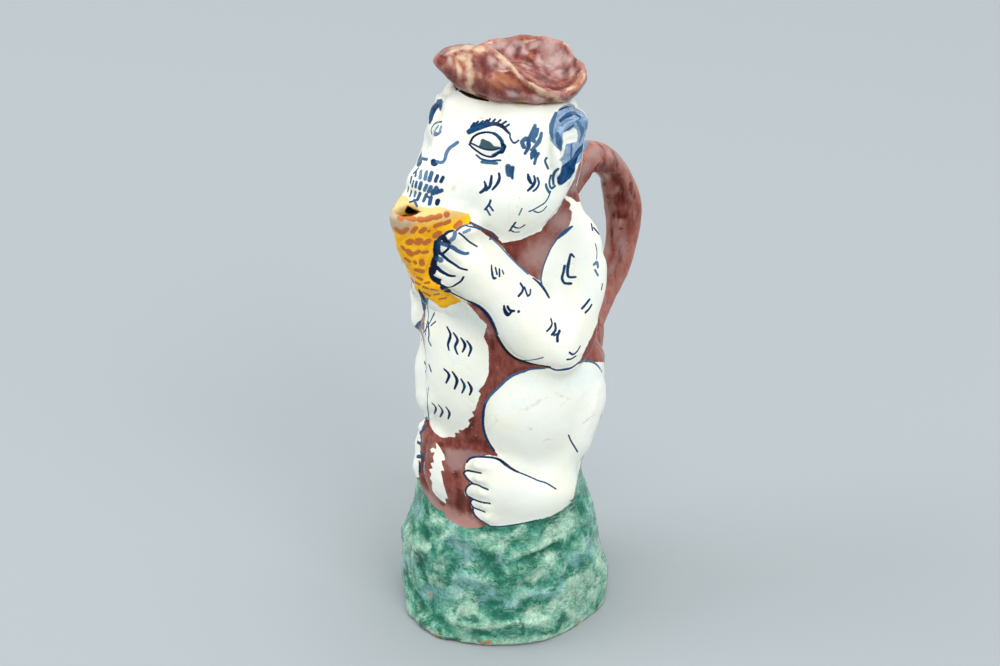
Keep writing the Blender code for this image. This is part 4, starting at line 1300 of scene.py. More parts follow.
def writeLayer(mesh, name, strokes, mm, normals):
    # across / half width, beyond the ends / half width, millimetres past the edge, tone
    values = np.full((len(mm), 4), 30.0)
    values[:, 3] = 0
    for points, facing, sizes, tone in strokes:
        reach = max(sizes) + brushes["reach"]
        low, high = points.min(0) - reach, points.max(0) + reach
        near = np.nonzero(((mm > low) & (mm < high)).all(1))[0]
        if not len(near):
            continue
        starts, runs = points[:-1], np.diff(points, axis=0)
        lengths = np.maximum((runs**2).sum(1), 1e-9)
        away = mm[near][:, None] - starts[None]
        t = (away * runs[None]).sum(2) / lengths
        held = np.clip(t, 0, 1)
        gap = np.linalg.norm(away - held[..., None] * runs[None], axis=2)
        best = gap.argmin(1)
        pick = np.arange(len(near))
        distance, part = gap[pick, best], held[pick, best]
        size = np.interp(best + part, range(len(sizes)), sizes)
        side = np.sign((np.cross(runs[best], away[pick, best]) * facing[best]).sum(1))
        line = np.sqrt(lengths)
        along = np.concatenate([[0], np.cumsum(line)])
        run = along[best] + part * line[best]
        beyond = -np.minimum(run, along[-1] - run)
        beyond = np.where((best == 0) & (part == 0), -t[:, 0] * line[0], beyond)
        beyond = np.where((best == len(line) - 1) & (part == 1), (t[:, -1] - 1) * line[-1], beyond)
        across = np.sqrt(np.maximum(distance**2 - np.maximum(beyond, 0)**2, 0))
        across = across * np.where(side == 0, 1, side)
        edge = distance - size
        better = (edge < values[near, 2]) & (edge < brushes["reach"])
        better &= (normals[near] * facing[best]).sum(1) > -0.1
        chosen = near[better]
        values[chosen, 0] = (across / size)[better]
        values[chosen, 1] = (beyond / size)[better]
        values[chosen, 2] = edge[better]
        values[chosen, 3] = tone
    writeAttribute(mesh, name, values)


def writeAttribute(mesh, name, values):
    if values.ndim == 1:
        mesh.attributes.new(name, "FLOAT", "POINT").data.foreach_set("value", values)
    else:
        mesh.attributes.new(name, "FLOAT_COLOR", "POINT").data.foreach_set("color", values.ravel())


def seenFrom(tree, points, normals, mirrored):
    # true where the camera, or its mirror image, sees the clay
    eye = photoAxes()[0]
    if mirrored:
        eye = Vector((-eye.x, eye.y, eye.z))
    looks = np.array(eye) - points
    facing = (looks * normals).sum(1) > 0.12 * np.linalg.norm(looks, axis=1)
    seen = np.zeros(len(points), bool)
    for i in np.nonzero(facing)[0]:
        start = Vector(points[i] + normals[i] * 0.0006)
        seen[i] = tree.ray_cast(start, eye - start)[0] is None
    return seen


def whiteByForm(mm):
    # millimetres inside the white glaze where the photograph doesn't show the clay
    white = np.minimum(mm[:, 2] - byForm["head"] + 6 * np.sin(mm[:, 0] / 7), 60)
    spill = byForm["spill"]
    for points in (mm, mm * [-1, 1, 1]):
        for name in ("upperArm", "foreArm", "lowLeg"):
            white = np.maximum(white, spill - distanceToRolls(points, rolls[name]))
        white = np.maximum(white, 1 - distanceToBall(points, *byForm["thigh"]))
    white = np.maximum(white, spill - distanceToRolls(mm, rolls["farElbow"]))
    width, height, squeeze = byForm["belly"]
    belly = width - np.hypot(mm[:, 0], (mm[:, 2] - height) * squeeze)
    return np.maximum(white, np.where(mm[:, 1] < -20, belly, -20))


def spread(flags, edgeList, rounds):
    # the flags as shares, spread over their neighbours
    return rubbed(np.repeat(flags[:, None] * 1.0, 3, 1), edgeList, rounds, np.ones(len(flags)))[:, 0]


def pixelEdge(pixels, name):
    return insideLoop(pixels, glazeEdges[name]) * photo["pixel"]


def topmost(pixels, *names):
    # inside any of the named edges
    return np.maximum.reduce([pixelEdge(pixels, name) for name in names])


def clipped(values):
    return np.clip(values, -byForm["most"], byForm["most"])


def whiteField(mm, pixels, direct, trust, seenDirect, strap):
    outside = -byForm["most"]
    belly = np.where(mm[:, 1] < 0, pixelEdge(pixels, "belly"), outside)
    white = np.maximum(topmost(pixels, "jaw", "arm", "leg"), belly)
    far = (mm[:, 0] < 0) & seenDirect
    white = np.where(far, np.maximum(white, topmost(direct, "farHand", "farToes")), white)
    white = np.where(seenDirect, np.minimum(white, -pixelEdge(direct, "wedge")), white)
    white = trust * clipped(white) + (1 - trust) * clipped(whiteByForm(mm))
    # the handle and what is behind it stay brown
    besideStrap = np.where(mm[:, 1] > 30, strap - 1.5, byForm["most"])
    return np.where(mm[:, 1] > 50, outside, np.minimum(white, besideStrap))


def rockField(mm, pixels, trust):
    behind, below = byForm["rock"]
    rock = np.where(trust > 0.5, pixelEdge(pixels, "rock"), behind - mm[:, 2] + 2 * np.sin(mm[:, 0] / 5))
    return np.maximum(clipped(rock), clipped(below - mm[:, 2]))


def basketField(mm, normals, pixels, trust):
    rim, half, taper = byForm["basket"]
    fallen = taper * (rim - mm[:, 2])
    basket = np.where(trust > 0.5, pixelEdge(pixels, "basket"), half - np.abs(mm[:, 0]) - fallen)
    # a strip down the front, which the camera sees edge on
    strip = np.minimum(np.minimum(4, half - 3 - fallen) - np.abs(mm[:, 0] - 1),
                       np.minimum(208 - mm[:, 2], mm[:, 2] - 169))
    basket = np.maximum(basket, np.where(normals[:, 1] < -0.3, strip, -byForm["most"]))
    return np.minimum(clipped(basket), clipped(byForm["basketBack"] - mm[:, 1]))


def inkAndShadeFields(mm, points, normals, direct, trust, seenDirect, strap):
    # the wash of the ears, the filled drawing, the painted shade inside the pouring hole and the irises
    outside = -byForm["most"]
    nearSide = points[:, 0] >= 0
    moved = np.where(nearSide[:, None], points, points - np.array(brushes["earShift"]))
    earPixels = np.where(nearSide[:, None], project(moved), project(moved, True))
    centre, radii = byForm["ear"]
    away = []
    for side, back in ((1, 0), (-1, byForm["farEarBack"])):
        away.append(distanceToBall(mm * [side, 1, 1], (centre[0], centre[1] + back, centre[2]), radii))
    nearEar = (np.minimum(*away) < 5) & (trust > 0.3) & (strap > 3.5)
    earWash, drawn = (np.where(nearEar, pixelEdge(earPixels, name), outside) for name in ("ear", "lobe"))
    front = seenDirect & (mm[:, 1] < 5)
    for name in ("brow", "corner", "farBrow", "nostril"):
        drawn = np.maximum(drawn, np.where(front, pixelEdge(direct, name), outside))
    iris = np.where(seenDirect & (mm[:, 1] < -10), pixelEdge(direct, "iris"), outside)
    # painted shade: the walls inside the pouring hole and the dark mouth within its edge are painted near
    # black
    right, ahead = mm[:, 0] - byForm["mouth"][0], mm[:, 1] - byForm["mouth"][1]
    fromAxis = np.hypot(right, ahead)
    inward = -(right * normals[:, 0] + ahead * normals[:, 1]) > 0.5
    hole = np.minimum(np.minimum(5.6 - fromAxis, 207 - mm[:, 2]), mm[:, 2] - 188)
    lipHole = np.where(fromAxis < 9, pixelEdge(direct, "hole"), outside)
    hole = np.maximum(np.where(inward, hole, outside), lipHole)
    return clipped(np.stack([earWash, drawn, hole, iris], 1))


def paintGlazes(mesh, points, normals, edgeList, tree):
    # signed millimetres inside each glaze, from the photograph where it shows the clay
    mm = points * 1000
    nearSide = points[:, 0] >= 0
    direct = project(points)
    seenDirect = seenFrom(tree, points, normals, False)
    seen = seenDirect.copy()
    seen[~nearSide] |= seenFrom(tree, points[~nearSide], normals[~nearSide], True)
    pixels = np.where((nearSide | seenDirect)[:, None], direct, project(points, True))
    trust = softStep(spread(seen, edgeList, 6), 0.02, 0.35)
    strap = distanceToRolls(mm, rolls["handle"])
    white = whiteField(mm, pixels, direct, trust, seenDirect, strap)
    rock = rockField(mm, pixels, trust)
    basket = basketField(mm, normals, pixels, trust)
    writeAttribute(mesh, "glazes", np.stack([white, rock, basket, strap], 1))
    shown = spread(seenDirect, edgeList, 4) * 4 - 2
    left = (mm[:, 1] < -20) & (mm[:, 0] > -12)
    fur = np.where(left, pixelEdge(direct, "fur"), -byForm["most"])
    washes = [fur, pixelEdge(pixels, "lilac"), pixelEdge(pixels, "pink"), shown]
    writeAttribute(mesh, "washes", clipped(np.stack(washes, 1)))
    writeAttribute(mesh, "inkAreas", inkAndShadeFields(mm, points, normals, direct, trust, seenDirect, strap))


def spotField(pixels, spots):
    # 1 in the middle of a spot, 0 at its edge and lower outside; each spot has its middle, its two
    # half widths and its turn in degrees
    best = np.full(len(pixels), -3.0)
    for x, y, wide, high, turn in spots:
        away = pixels - np.array((x, y))
        c, s = math.cos(math.radians(turn)), math.sin(math.radians(turn))
        across, down = away[:, 0] * c + away[:, 1] * s, away[:, 1] * c - away[:, 0] * s
        best = np.maximum(best, 1 - np.hypot(across / wide, down / high))
    return best


rockSpots = {
    "dark": ((413, 526, 3.5, 9, 0), (430, 531, 7, 7, 20), (426, 514, 4, 13, 10), (441, 556, 8, 4.5, -30),
             (450, 570, 8, 9, 0), (447, 579, 5, 4, 0), (430, 609, 5, 9, 0), (436, 617, 6, 6, 30),
             (439, 630, 8, 5, 30), (450, 635, 14, 4, 12), (495, 555, 6, 4, 0), (491, 562, 5, 7, 0),
             (508, 576, 9, 7, 20), (498, 586, 7, 7, 0), (415, 590, 3.5, 9, 0), (424, 622, 5, 6, 30),
             (470, 618, 10, 3, -15), (482, 632, 12, 3.5, 15), (500, 616, 6, 7, 0), (456, 612, 3, 3, 0),
             (534, 559, 22, 3, -22), (553, 548, 8, 3.4, -40), (583, 561, 5, 9, 20), (570, 576, 9, 2.6, -50),
             (588, 530, 3, 9, 10), (573, 541, 6, 4, -30), (548, 586, 9, 2.6, -10), (522, 583, 14, 2, 5),
             (550, 600, 8, 2.6, -40), (520, 613, 12, 4, -5), (527, 603, 7, 6, 0), (519, 630, 5, 7, 0),
             (508, 624, 3, 9, 0), (561, 622, 10, 3, -35), (548, 628, 5, 3, 0), (597, 606, 3, 7, 10),
             (581, 512, 6, 6, 0), (563, 555, 4, 7, 0), (421, 560, 3, 9, 10), (408, 575, 2.6, 9, 0),
             (466, 603, 8, 2.4, 20), (495, 603, 8, 4, 20), (420, 600, 4, 10, 10)),
    "pale": ((437, 516, 8, 6, 20), (446, 537, 5, 9, 10), (419, 550, 4, 13, 12), (408, 541, 3, 9, 0),
             (413, 562, 4, 9, 10), (437, 564, 5, 7, 0), (440, 551, 5, 3, 0), (442, 580, 9, 4, -10),
             (456, 590, 9, 7, 30), (468, 604, 12, 6, 30), (463, 614, 12, 6, 10), (484, 539, 14, 5, 5),
             (470, 561, 9, 5, 0), (502, 545, 7, 9, 0), (515, 534, 12, 5, 0), (540, 547, 17, 4, -18),
             (553, 541, 6, 6, 0), (567, 524, 12, 14, 20), (555, 533, 8, 7, 0), (536, 573, 13, 6, -12),
             (550, 563, 7, 7, -30), (528, 574, 6, 5, 0), (578, 583, 9, 15, 25), (562, 600, 20, 8, -40),
             (590, 578, 4, 12, 0), (600, 562, 5, 12, 0), (604, 580, 4, 12, 0), (600, 545, 5, 7, 0),
             (536, 617, 14, 7, 0), (572, 611, 15, 8, -30), (592, 596, 7, 8, 20), (490, 625, 9, 6, 0),
             (470, 628, 8, 4, 0), (402, 560, 2.4, 10, 0), (412, 586, 3, 4, 0), (416, 601, 3, 4, 0),
             (585, 620, 8, 4, -35), (424, 542, 4, 8, 10)),
    "blue": ((462, 545, 12, 9, 20), (456, 569, 9, 7, 10), (470, 555, 8, 6, 0), (431, 592, 9, 7, 0),
             (447, 592, 9, 8, 0), (455, 582, 7, 6, 0), (490, 592, 11, 7, 10), (502, 604, 8, 8, 0),
             (481, 600, 9, 5, 0), (587, 548, 6, 14, 10), (577, 560, 7, 8, 0), (532, 591, 13, 5, 5),
             (545, 593, 12, 5, -10), (560, 588, 9, 8, -30), (500, 556, 6, 5, 0), (590, 512, 3, 12, 5),
             (405, 565, 4, 12, 0), (420, 510, 4, 9, 0), (512, 612, 8, 8, 0), (516, 600, 8, 6, 0),
             (455, 528, 8, 3.4, 20), (472, 583, 10, 8, 20), (447, 525, 6, 5, 20)),
    "rust": ((430, 594, 1.8, 4, 0), (446, 607, 1.6, 1, 0), (507, 643, 9, 2.2, 4),
             (478, 642, 12, 1.2, 6), (440, 636, 7, 1.2, 25), (580, 622, 8, 1.4, -32), (416, 578, 1, 3, 0)),
}

bodySpots = {
    "stain": ((454, 188, 3.5, 5, 20), (460, 181, 2, 2, 0), (517, 193, 1.6, 1.6, 0), (520, 197, 1.4, 1.4, 0),
              (518, 206, 1.6, 2, 0), (535, 404, 16, 2.2, -25), (560, 395, 9, 1.6, 30),
              (530, 428, 4, 1.4, 10), (598, 395, 1.6, 2, 0), (507, 500, 1.2, 1.6, 0),
              (456, 470, 1, 1, 0), (550, 440, 10, 1.2, -10), (588, 244, 1, 1, 0), (584, 271, 1, 1, 0),
              (591, 280, 1, 1, 0), (513, 129, 1.8, 2.4, 0), (480, 119, 6, 1.4, 0),
              (436, 155, 6, 1.6, -10), (392, 219, 6.5, 7, 0), (389, 214, 4, 4, 0),
              (588, 419, 14, 1.2, -35), (565, 403, 12, 1, -35), (400, 209, 3, 1.6, 40)),
    "yellow": ((520, 106, 11, 3, 5), (543, 104, 8, 2.4, 0), (484, 119, 4, 1.5, 0), (577, 109, 5, 2.5, 40)),
    "sheen": ((541, 254, 26, 16, -38), (562, 222, 14, 14, -60), (545, 282, 6, 12, -30),
              (595, 154, 11, 8, -40), (585, 170, 5, 14, 38), (576, 186, 3, 9, 38),
              (612, 156, 12, 3, 35), (607, 215, 2.4, 20, 0), (622, 246, 7, 16, 8), (620, 222, 6, 4, 0),
              (612, 270, 5, 12, 20), (626, 165, 3, 14, -35), (606, 176, 4, 5, 0), (608, 250, 3, 14, 5),
              (618, 190, 3, 6, 0)),
    # painted shade in the grooves of the handle and in the creases around the arm, legs and lap
    "creaseShade": ((604, 171, 9, 2.4, 22), (614, 179, 6, 2.2, 50), (619, 195, 2, 14, 0), (620, 216, 9, 3.4, 8),
            (616, 214, 4, 4, 0), (612, 232, 2, 10, 0), (604, 184, 3, 3, 0), (620, 229, 4, 2, 0),
            (632, 190, 3, 16, -8), (475, 441, 14, 5, 8), (470, 425, 5, 14, 20), (487, 446, 6, 7, 0),
            (460, 500, 6, 16, -5), (472, 505, 6, 14, 5), (455, 476, 4, 5, 0), (492, 346, 3, 10, 0),
            (532, 364, 18, 2.4, 8), (440, 444, 5, 3, 0), (424, 462, 2.4, 10, 0), (443, 503, 4, 3, 40)),
}


def swayed(points, pixels, size, reach):
    # the pixels pushed about by noise, so that round spots come out as ragged patches
    push = [noise.noise_vector(Vector(point) * (1000 / size)) for point in points]
    return pixels + np.array(push)[:, :2] * reach


def paintSpots(mesh, name, spots, pixels, seen):
    fields = [np.where(seen, spotField(pixels, spots[key]), -3) for key in spots]
    writeAttribute(mesh, name, np.stack(fields, 1))


def hollowness(points, normals, edgeList):
    # how far each corner lies below the middle of its neighbourhood, in tenths of a millimetre
    broad = rubbed(points, edgeList, 14, np.ones(len(points)))
    depth = ((broad - points) * normals).sum(1) * 10000
    return rubbed(np.repeat(depth[:, None], 3, 1), edgeList, 2, np.ones(len(points)))[:, 0]


def paintEwer(mesh):
    points, edgeList = meshToClay(mesh)
    normals = normalsOf(mesh)
    tree = treeOf(mesh)
    swell = brushes["swell"]
    laid = laidStrokes(tree, faceStrokes + bellyStrokes + farStrokes + gapShadowStrokes, (1,), swell=swell)
    laid += laidStrokes(tree, cheekStrokes + handStrokes + armStrokes + legStrokes, swell=swell)
    laid += laidStrokes(tree, earStrokes, shift=brushes["earShift"], swell=swell)
    dabs = [(width, brushes["dabTone"], picks) for width, picks in basketDabs]
    laid += laidStrokes(tree, dabs, swell=brushes["dabSwell"], convex=True)
    for k, layer in enumerate(sortedIntoLayers(laid)):
        writeLayer(mesh, "brush%d" % k, layer, points * 1000, normals)
    paintGlazes(mesh, points, normals, edgeList, tree)
    seen = spread(seenFrom(tree, points, normals, False), edgeList, 4) > 0.05
    pixels = project(points)
    swept = swayed(points, swayed(points, pixels, 9, 11), 3.5, 4)
    paintSpots(mesh, "rockSpots", rockSpots, swept, seen)
    paintSpots(mesh, "bodySpots", bodySpots, swayed(points, pixels, 5, 2), seen)
    writeAttribute(mesh, "form", hollowness(points, normals, edgeList))
    print("ewer painted")


# colours of the glazes as they come out of the kiln, and of painted light: the shade inside the pouring
# hole, the shade in grooves and creases, the sheen, and painted highlights on the hat's rim in the straw
# colour
colours = {
    "white": (0.87, 0.89, 0.82),
    "cream": (0.87, 0.87, 0.76),
    "bluish": (0.79, 0.86, 0.83),
    "stain": (0.46, 0.39, 0.29),
    "oldYellow": (0.80, 0.72, 0.36),
    "sheen": (0.38, 0.235, 0.22),
    "paleGreen": (0.50, 0.68, 0.54),
    "darkGreen": (0.010, 0.12, 0.075),
    "seaBlue": (0.22, 0.42, 0.44),
    "rust": (0.42, 0.17, 0.05),
    "yellow": (0.95, 0.52, 0.016),
    "gold": (0.82, 0.36, 0.004),
    "paleYellow": (0.76, 0.53, 0.21),
    "worn": (0.37, 0.33, 0.26),
    "terracotta": (0.20, 0.10, 0.05),
    "lilac": (0.33, 0.21, 0.20),
    "pink": (0.48, 0.27, 0.235),
    # painted shade in grooves and creases
    "creaseShade": (0.085, 0.012, 0.009),
    "wash": (0.26, 0.38, 0.56),
    "deepWash": (0.05, 0.145, 0.31),
    "cobalt": (0.006, 0.075, 0.19),
    "navy": (0.0004, 0.016, 0.085),
    "mist": (0.36, 0.50, 0.46),
    "iris": (0.055, 0.105, 0.125),
    # painted shade inside the pouring hole
    "dark": (0.004, 0.003, 0.002),
    "greyLilac": (0.52, 0.38, 0.36),
    "burnt": (0.36, 0.14, 0.060),
    "wine": (0.095, 0.022, 0.024),
    # straw: pale glaze on the hat, partly painted highlights on its rolled rim
    "straw": (0.66, 0.50, 0.34),
}
browns = ((0.0, (0.065, 0.010, 0.008)), (0.35, (0.17, 0.036, 0.026)), (0.6, (0.27, 0.085, 0.065)),
          (1.0, (0.46, 0.22, 0.18)))
greens = ((0.0, (0.012, 0.095, 0.062)), (0.3, (0.035, 0.185, 0.125)), (0.5, (0.085, 0.29, 0.21)),
          (0.7, (0.17, 0.40, 0.29)), (1.0, (0.36, 0.56, 0.43)))
# tone 1.2 gives near black, which also paints the shadow in the gap under the hat
inks = ((0.0, (0.24, 0.36, 0.48)), (0.2, (0.065, 0.15, 0.27)), (0.36, (0.010, 0.055, 0.145)),
        (0.47, (0.001, 0.010, 0.055)), (0.54, (0.012, 0.008, 0.006)), (0.64, (0.012, 0.008, 0.006)),
        (0.75, (0.50, 0.145, 0.033)), (1.0, (0.50, 0.145, 0.033)))


def solid(colour):
    return (*colour, 1.0)


def brushMarks(place):
    # how much ink lies on the glaze, and its tone; the near-black stroke along the hat's edge is a painted
    # shadow
    wobble = cloud(place, 0.7, 2) * 0.5 - 0.25
    cover, weight = 0.0, 0.0
    for k in range(brushes["count"]):
        across, beyond, past, tone = channels(place, "brush%d" % k)
        cap = beyond.most(0.0)
        reach = (across * across + cap * cap).root()
        mark = (reach + wobble).step(1.2, 0.75) * past.step(0.7, 0.35)
        cover = mark + cover
        weight = mark * tone + weight
    return cover.least(1.0), weight / cover.most(0.001)


def wander(place, size, reach):
    # a soft push of the coordinates in every direction
    colour = place.node("ShaderNodeTexNoise", {}, {"Vector": place, "Scale": 1 / size, "Detail": 2.0}, 1)
    return colour.moved((-0.5, -0.5, -0.5)).scaled(float(reach))


def coated(body, coats):
    # one colour after another laid over the body, each with its share
    for share, name in coats:
        body = share.mixed(body, solid(colours[name]))
    return body


def crackLines(place, scale, full, none):
    # lines along the edges of a net of cells
    sockets = {"Vector": place, "Scale": scale}
    return place.node("ShaderNodeTexVoronoi", {"feature": "DISTANCE_TO_EDGE"}, sockets).step(none, full)


def unseenPatches(place, size, twist, level, seen, spots):
    # the picked spots, and patches like them where the photograph doesn't show the clay
    return (cloud(place, size, 4, 0.6, twist) * 5 - level - 2.2 * seen).most(spots)


def tinColour(place, oldYellow, blur):
    tin = cloud(place, 26, 3).step(0.42, 0.62).mixed(solid(colours["white"]), solid(colours["cream"]))
    cracks = crackLines(place.moved(wander(place, 16, 22)), 0.06, 0.003, 0.012)
    return coated(tin, (
        (cloud(place, 14, 3).step(0.56, 0.72), "bluish"),
        ((oldYellow + blur * 0.7).step(-0.1, 0.9) * 0.6, "oldYellow"),
        (cloud(place, 1.1, 2).step(0.74, 0.79) * 0.3, "stain"),
        (cracks * cloud(place, 21, 2).step(0.46, 0.62) * 0.16, "stain"),
    ))


def manganeseColour(place, combed, form, ragged, blur, strap, lilac, pink, sheen, creaseShade):
    streaky = cloud(combed, 6, 5, 0.62, 0.8) * 0.9 + cloud(combed, 1.6, 4, 0.65) * 0.5 - 0.22 - form * 0.05
    # painted shade and painted highlights run as dark and bright streaks along the handle
    drawnDown = place.stretched((1.0, 1.0, 0.16))
    onStrap = strap.step(2.4, 1.2)
    return coated(streaky.ramp(browns), (
        ((lilac + ragged).step(-0.6, 1.6) * 0.75, "lilac"),
        ((pink + ragged).step(-1, 2.0) * 0.75, "pink"),
        ((sheen + blur * 0.5).step(-0.4, 0.9) * 0.85, "sheen"),
        # painted shade in grooves and creases
        ((creaseShade + blur * 0.7).step(-0.2, 0.7) * 0.8, "creaseShade"),
        (cloud(place, 1.3, 2).step(0.68, 0.74) * 0.5, "pink"),
        (cloud(drawnDown, 4.2, 3, 0.5, 0.3).step(0.55, 0.66) * onStrap * 0.55, "creaseShade"),
        (cloud(drawnDown, 3.1, 3, 0.5, 0.3).step(0.46, 0.36) * onStrap * 0.4, "sheen"),
    ))


def copperColour(place, combed, swept, form, shown):
    # large brushed patches, on the hidden side too
    patchy = cloud(swept, 20, 4, 0.6, 1.0) * 1.0 + cloud(swept, 4, 5, 0.68, 1.6) * 1.5 - 0.79
    green = (patchy - form.least(2.5) * 0.07).ramp(greens)
    shade = cloud(swept, 2.8, 5, 0.68, 1.8) * 4.0 - 2.0
    seen = shown.step(-0.5, 1.0)
    dark, pale, blue, rust = channels(place, "rockSpots")
    pale = unseenPatches(swept, 12, 0.8, 2.7, seen, pale)
    blue = unseenPatches(combed, 13, 1.6, 2.8, seen, blue)
    dark = unseenPatches(swept, 9, 1.8, 2.9, seen, dark)
    green = coated(green, (
        ((pale + shade).step(-0.5, 0.8) * 0.65, "paleGreen"),
        ((blue + shade).step(-0.5, 0.8) * 0.65, "seaBlue"),
        ((dark + shade).step(-0.4, 0.7) * 0.92, "darkGreen"),
        (crackLines(swept, 0.12, 0.01, 0.06) * cloud(place, 7, 3).step(0.52, 0.66) * 0.4, "darkGreen"),
        (cloud(place, 10, 5, 0.6, 0.8).step(0.56, 0.7) * 0.45, "mist"),
    ))
    grain = cloud(place, 0.9, 3, 0.6) * 0.9 + cloud(place, 2.2, 4, 0.62) * 1.3 - 0.09
    return coated(green.scaled(grain), [((rust + shade * 0.3).step(0.0, 0.4) * 0.85, "rust")])


def basketColour(place, ahead, height):
    sun = cloud(place, 4, 4).step(0.35, 0.7).mixed(solid(colours["yellow"]), solid(colours["gold"]))
    forward = (ahead + cloud(place, 3, 4) * 4).step(-57.0, -60.5)
    tip = forward * (height + cloud(place, 2, 3) * 3).step(205, 207)
    return coated(sun, (
        ((height + cloud(place, 6, 3) * 6).step(209.5, 213), "paleYellow"),
        (tip * 0.8, "worn"),
    ))


def makeEwerGlaze():
    glaze, shader, place = startGlaze("ewerGlaze")
    white, rock, basket, strap = channels(place, "glazes")
    fur, lilac, pink, shown = channels(place, "washes")
    # the body's spots: stains, old yellow, painted sheen and painted shade in grooves and creases
    stain, oldYellow, sheen, creaseShade = channels(place, "bodySpots")
    earWash, drawn, boreShade, iris = channels(place, "inkAreas")
    form = attribute(place, "form")[2]
    _, ahead, height = place.parted("ShaderNodeSeparateXYZ")
    ragged = cloud(place, 2.2, 4) * 2.0 - 1.0
    blur = cloud(place, 1.8, 4) * 1.6 - 0.8
    combed = place.stretched((1.0, 1.0, 0.4))
    swept = place.stretched((1.0, 1.0, 1.5)).moved(wander(place, 14, 16))
    tin = tinColour(place, oldYellow, blur)
    body = manganeseColour(place, combed, form, ragged, blur, strap, lilac, pink, sheen, creaseShade)
    body = (white + ragged * 0.5).step(-0.15, 0.25).mixed(body, tin)
    body = (fur + ragged * 0.4).step(-0.1, 0.2).mixed(body, tin)
    green = copperColour(place, combed, swept, form, shown)
    body = (rock + ragged * 0.4).step(-0.6, -0.2).mixed(body, green)
    body = (basket + ragged * 0.15).step(-0.1, 0.15).mixed(body, basketColour(place, ahead, height))
    body = coated(body, [((stain + blur * 1.4).step(-0.2, 1.1) * 0.4, "stain")])
    washes = (cloud(place, 3.4, 5, 0.65, 1.8).step(0.36, 0.68) * 0.85).mixed(
        solid(colours["wash"]), solid(colours["deepWash"]))
    body = ((earWash + ragged * 0.2).step(-0.2, 0.15) * 0.94).mixed(body, washes)
    deep = cloud(place, 2.6, 4, 0.6).step(0.36, 0.62).mixed(solid(colours["navy"]), solid(colours["cobalt"]))
    body = (drawn + ragged * 0.2).step(-0.2, 0.15).mixed(body, deep)
    body = coated(body, [((iris + ragged * 0.1).step(-0.15, 0.1), "iris")])
    cover, tone = brushMarks(place)
    body = cover.mixed(body, (tone * 0.5 + cloud(place, 1.8, 4) * 0.12 - 0.05).ramp(inks))
    # the pouring hole is painted near black as painted shade, and the clay is bare where the ewer stands
    bare = (height + cloud(place, 4, 3) * 2.4).step(1.9, 1.2)
    body = coated(body, ((boreShade.step(-0.2, 0.6), "dark"), (bare, "terracotta")))
    body.feed(shader, "Base Color")
    (cloud(place, 5, 3) * 0.10 + 0.10 + bare * 0.5).feed(shader, "Roughness")
    ripple = cloud(place, 3.0, 3) * 0.5 + cloud(place, 0.8, 2) * 0.1
    ripple = ripple + rock.step(-0.5, 1.0) * (cloud(swept, 4, 5, 0.65, 0.8) * 3.0)
    ripple.bumped(0.25).feed(shader, "Normal")
    return glaze


def makeHatGlaze():
    glaze, shader, place = startGlaze("hatGlaze")
    cream, purple, orange, lilac = channels(place, "hatSpots")
    form = attribute(place, "form")[2]
    combed = place.stretched((1.0, 1.0, 0.45))
    streaky = cloud(combed, 5, 5, 0.65, 1.2) * 1.0 + cloud(combed, 1.3, 4, 0.65) * 0.6 - 0.27 - form * 0.08
    blur = cloud(combed, 2.4, 5, 0.7, 1.0) * 2.4 - 1.2
    brown = coated(streaky.ramp(browns), (
        (cloud(place, 8, 4).step(0.5, 0.62) * 0.35, "sheen"),
        ((lilac + blur * 0.5).step(-0.5, 0.9) * 0.8, "greyLilac"),
        ((orange + blur * 0.6).step(-0.4, 0.9) * 0.75, "burnt"),
        ((purple + blur * 0.6).step(-0.5, 0.9) * 0.75, "wine"),
        # pale streaks and worn rim, partly painted highlights on the rolled rim
        ((cream + blur * 0.8).step(-0.35, 0.85) * 0.78, "straw"),
    ))
    brown.feed(shader, "Base Color")
    (cloud(place, 5, 3) * 0.12 + 0.10).feed(shader, "Roughness")
    cloud(place, 2.5, 4).bumped(0.4).feed(shader, "Normal")
    return glaze


def makeEwer():
    mesh, inside = makeEwerClay()
    tree = treeOf(mesh)
    points, edgeList = meshToClay(mesh)
    normals = normalsOf(mesh)
    folds = laidFolds(tree, grooves, (1, -1)) + laidFolds(tree, ledges, (1,))
    points = pressed(roughened(points, normals, inside), normals, folds)
    points = rubbed(points, edgeList, 1, np.ones(len(points)))
    points = keptInside(drawnOut(points, lastPulls, clay["pullReach"]))
    points = drawnOut(points, basePulls, clay["baseReach"])
    points = keptInside(drawnOut(points, rimPulls, clay["pullReach"]))
    temple = np.exp(-((project(points) - clay["temple"]) ** 2).sum(1) / clay["templeReach"] ** 2)
    points = rubbed(points, edgeList, clay["templeRubs"], temple)
    putBack(mesh, points)
    print("folds pressed")
    # the thinning spares the face, hands and feet most and the walls inside least
    mouth = (points[:, 1] < -0.045) & (points[:, 2] > 0.19)
    fussy = (np.abs(points[:, 2] - 0.17) < 0.1) & (points[:, 1] < 0.02)
    spare = np.where(inside & ~mouth, 1.0, np.where(fussy, 0.2, 0.5))
    mesh = thinned(mesh, spare, clay["triangles"])
    points = meshToClay(mesh)[0]
    points[:, 2] = np.maximum(points[:, 2], 0)
    putBack(mesh, points)
    print("ewer thinned to", len(mesh.polygons), "triangles")
    paintEwer(mesh)
    mesh.materials.clear()
    mesh.materials.append(makeEwerGlaze())
    makePiece(mesh, "ewer")


# the hat's clay: the CAD form rubbed smooth, then drawn out to the photograph's outline
hatClay = {
    "voxel": 0.00075,
    "rubs": 10,
    "pullReach": 10.0,  # pixels around each pull
    "unevenness": 0.0005,
    "swells": (6, 2.5),  # millimetres from one swell to the next, broad and fine
    "fineShare": 0.4,
}

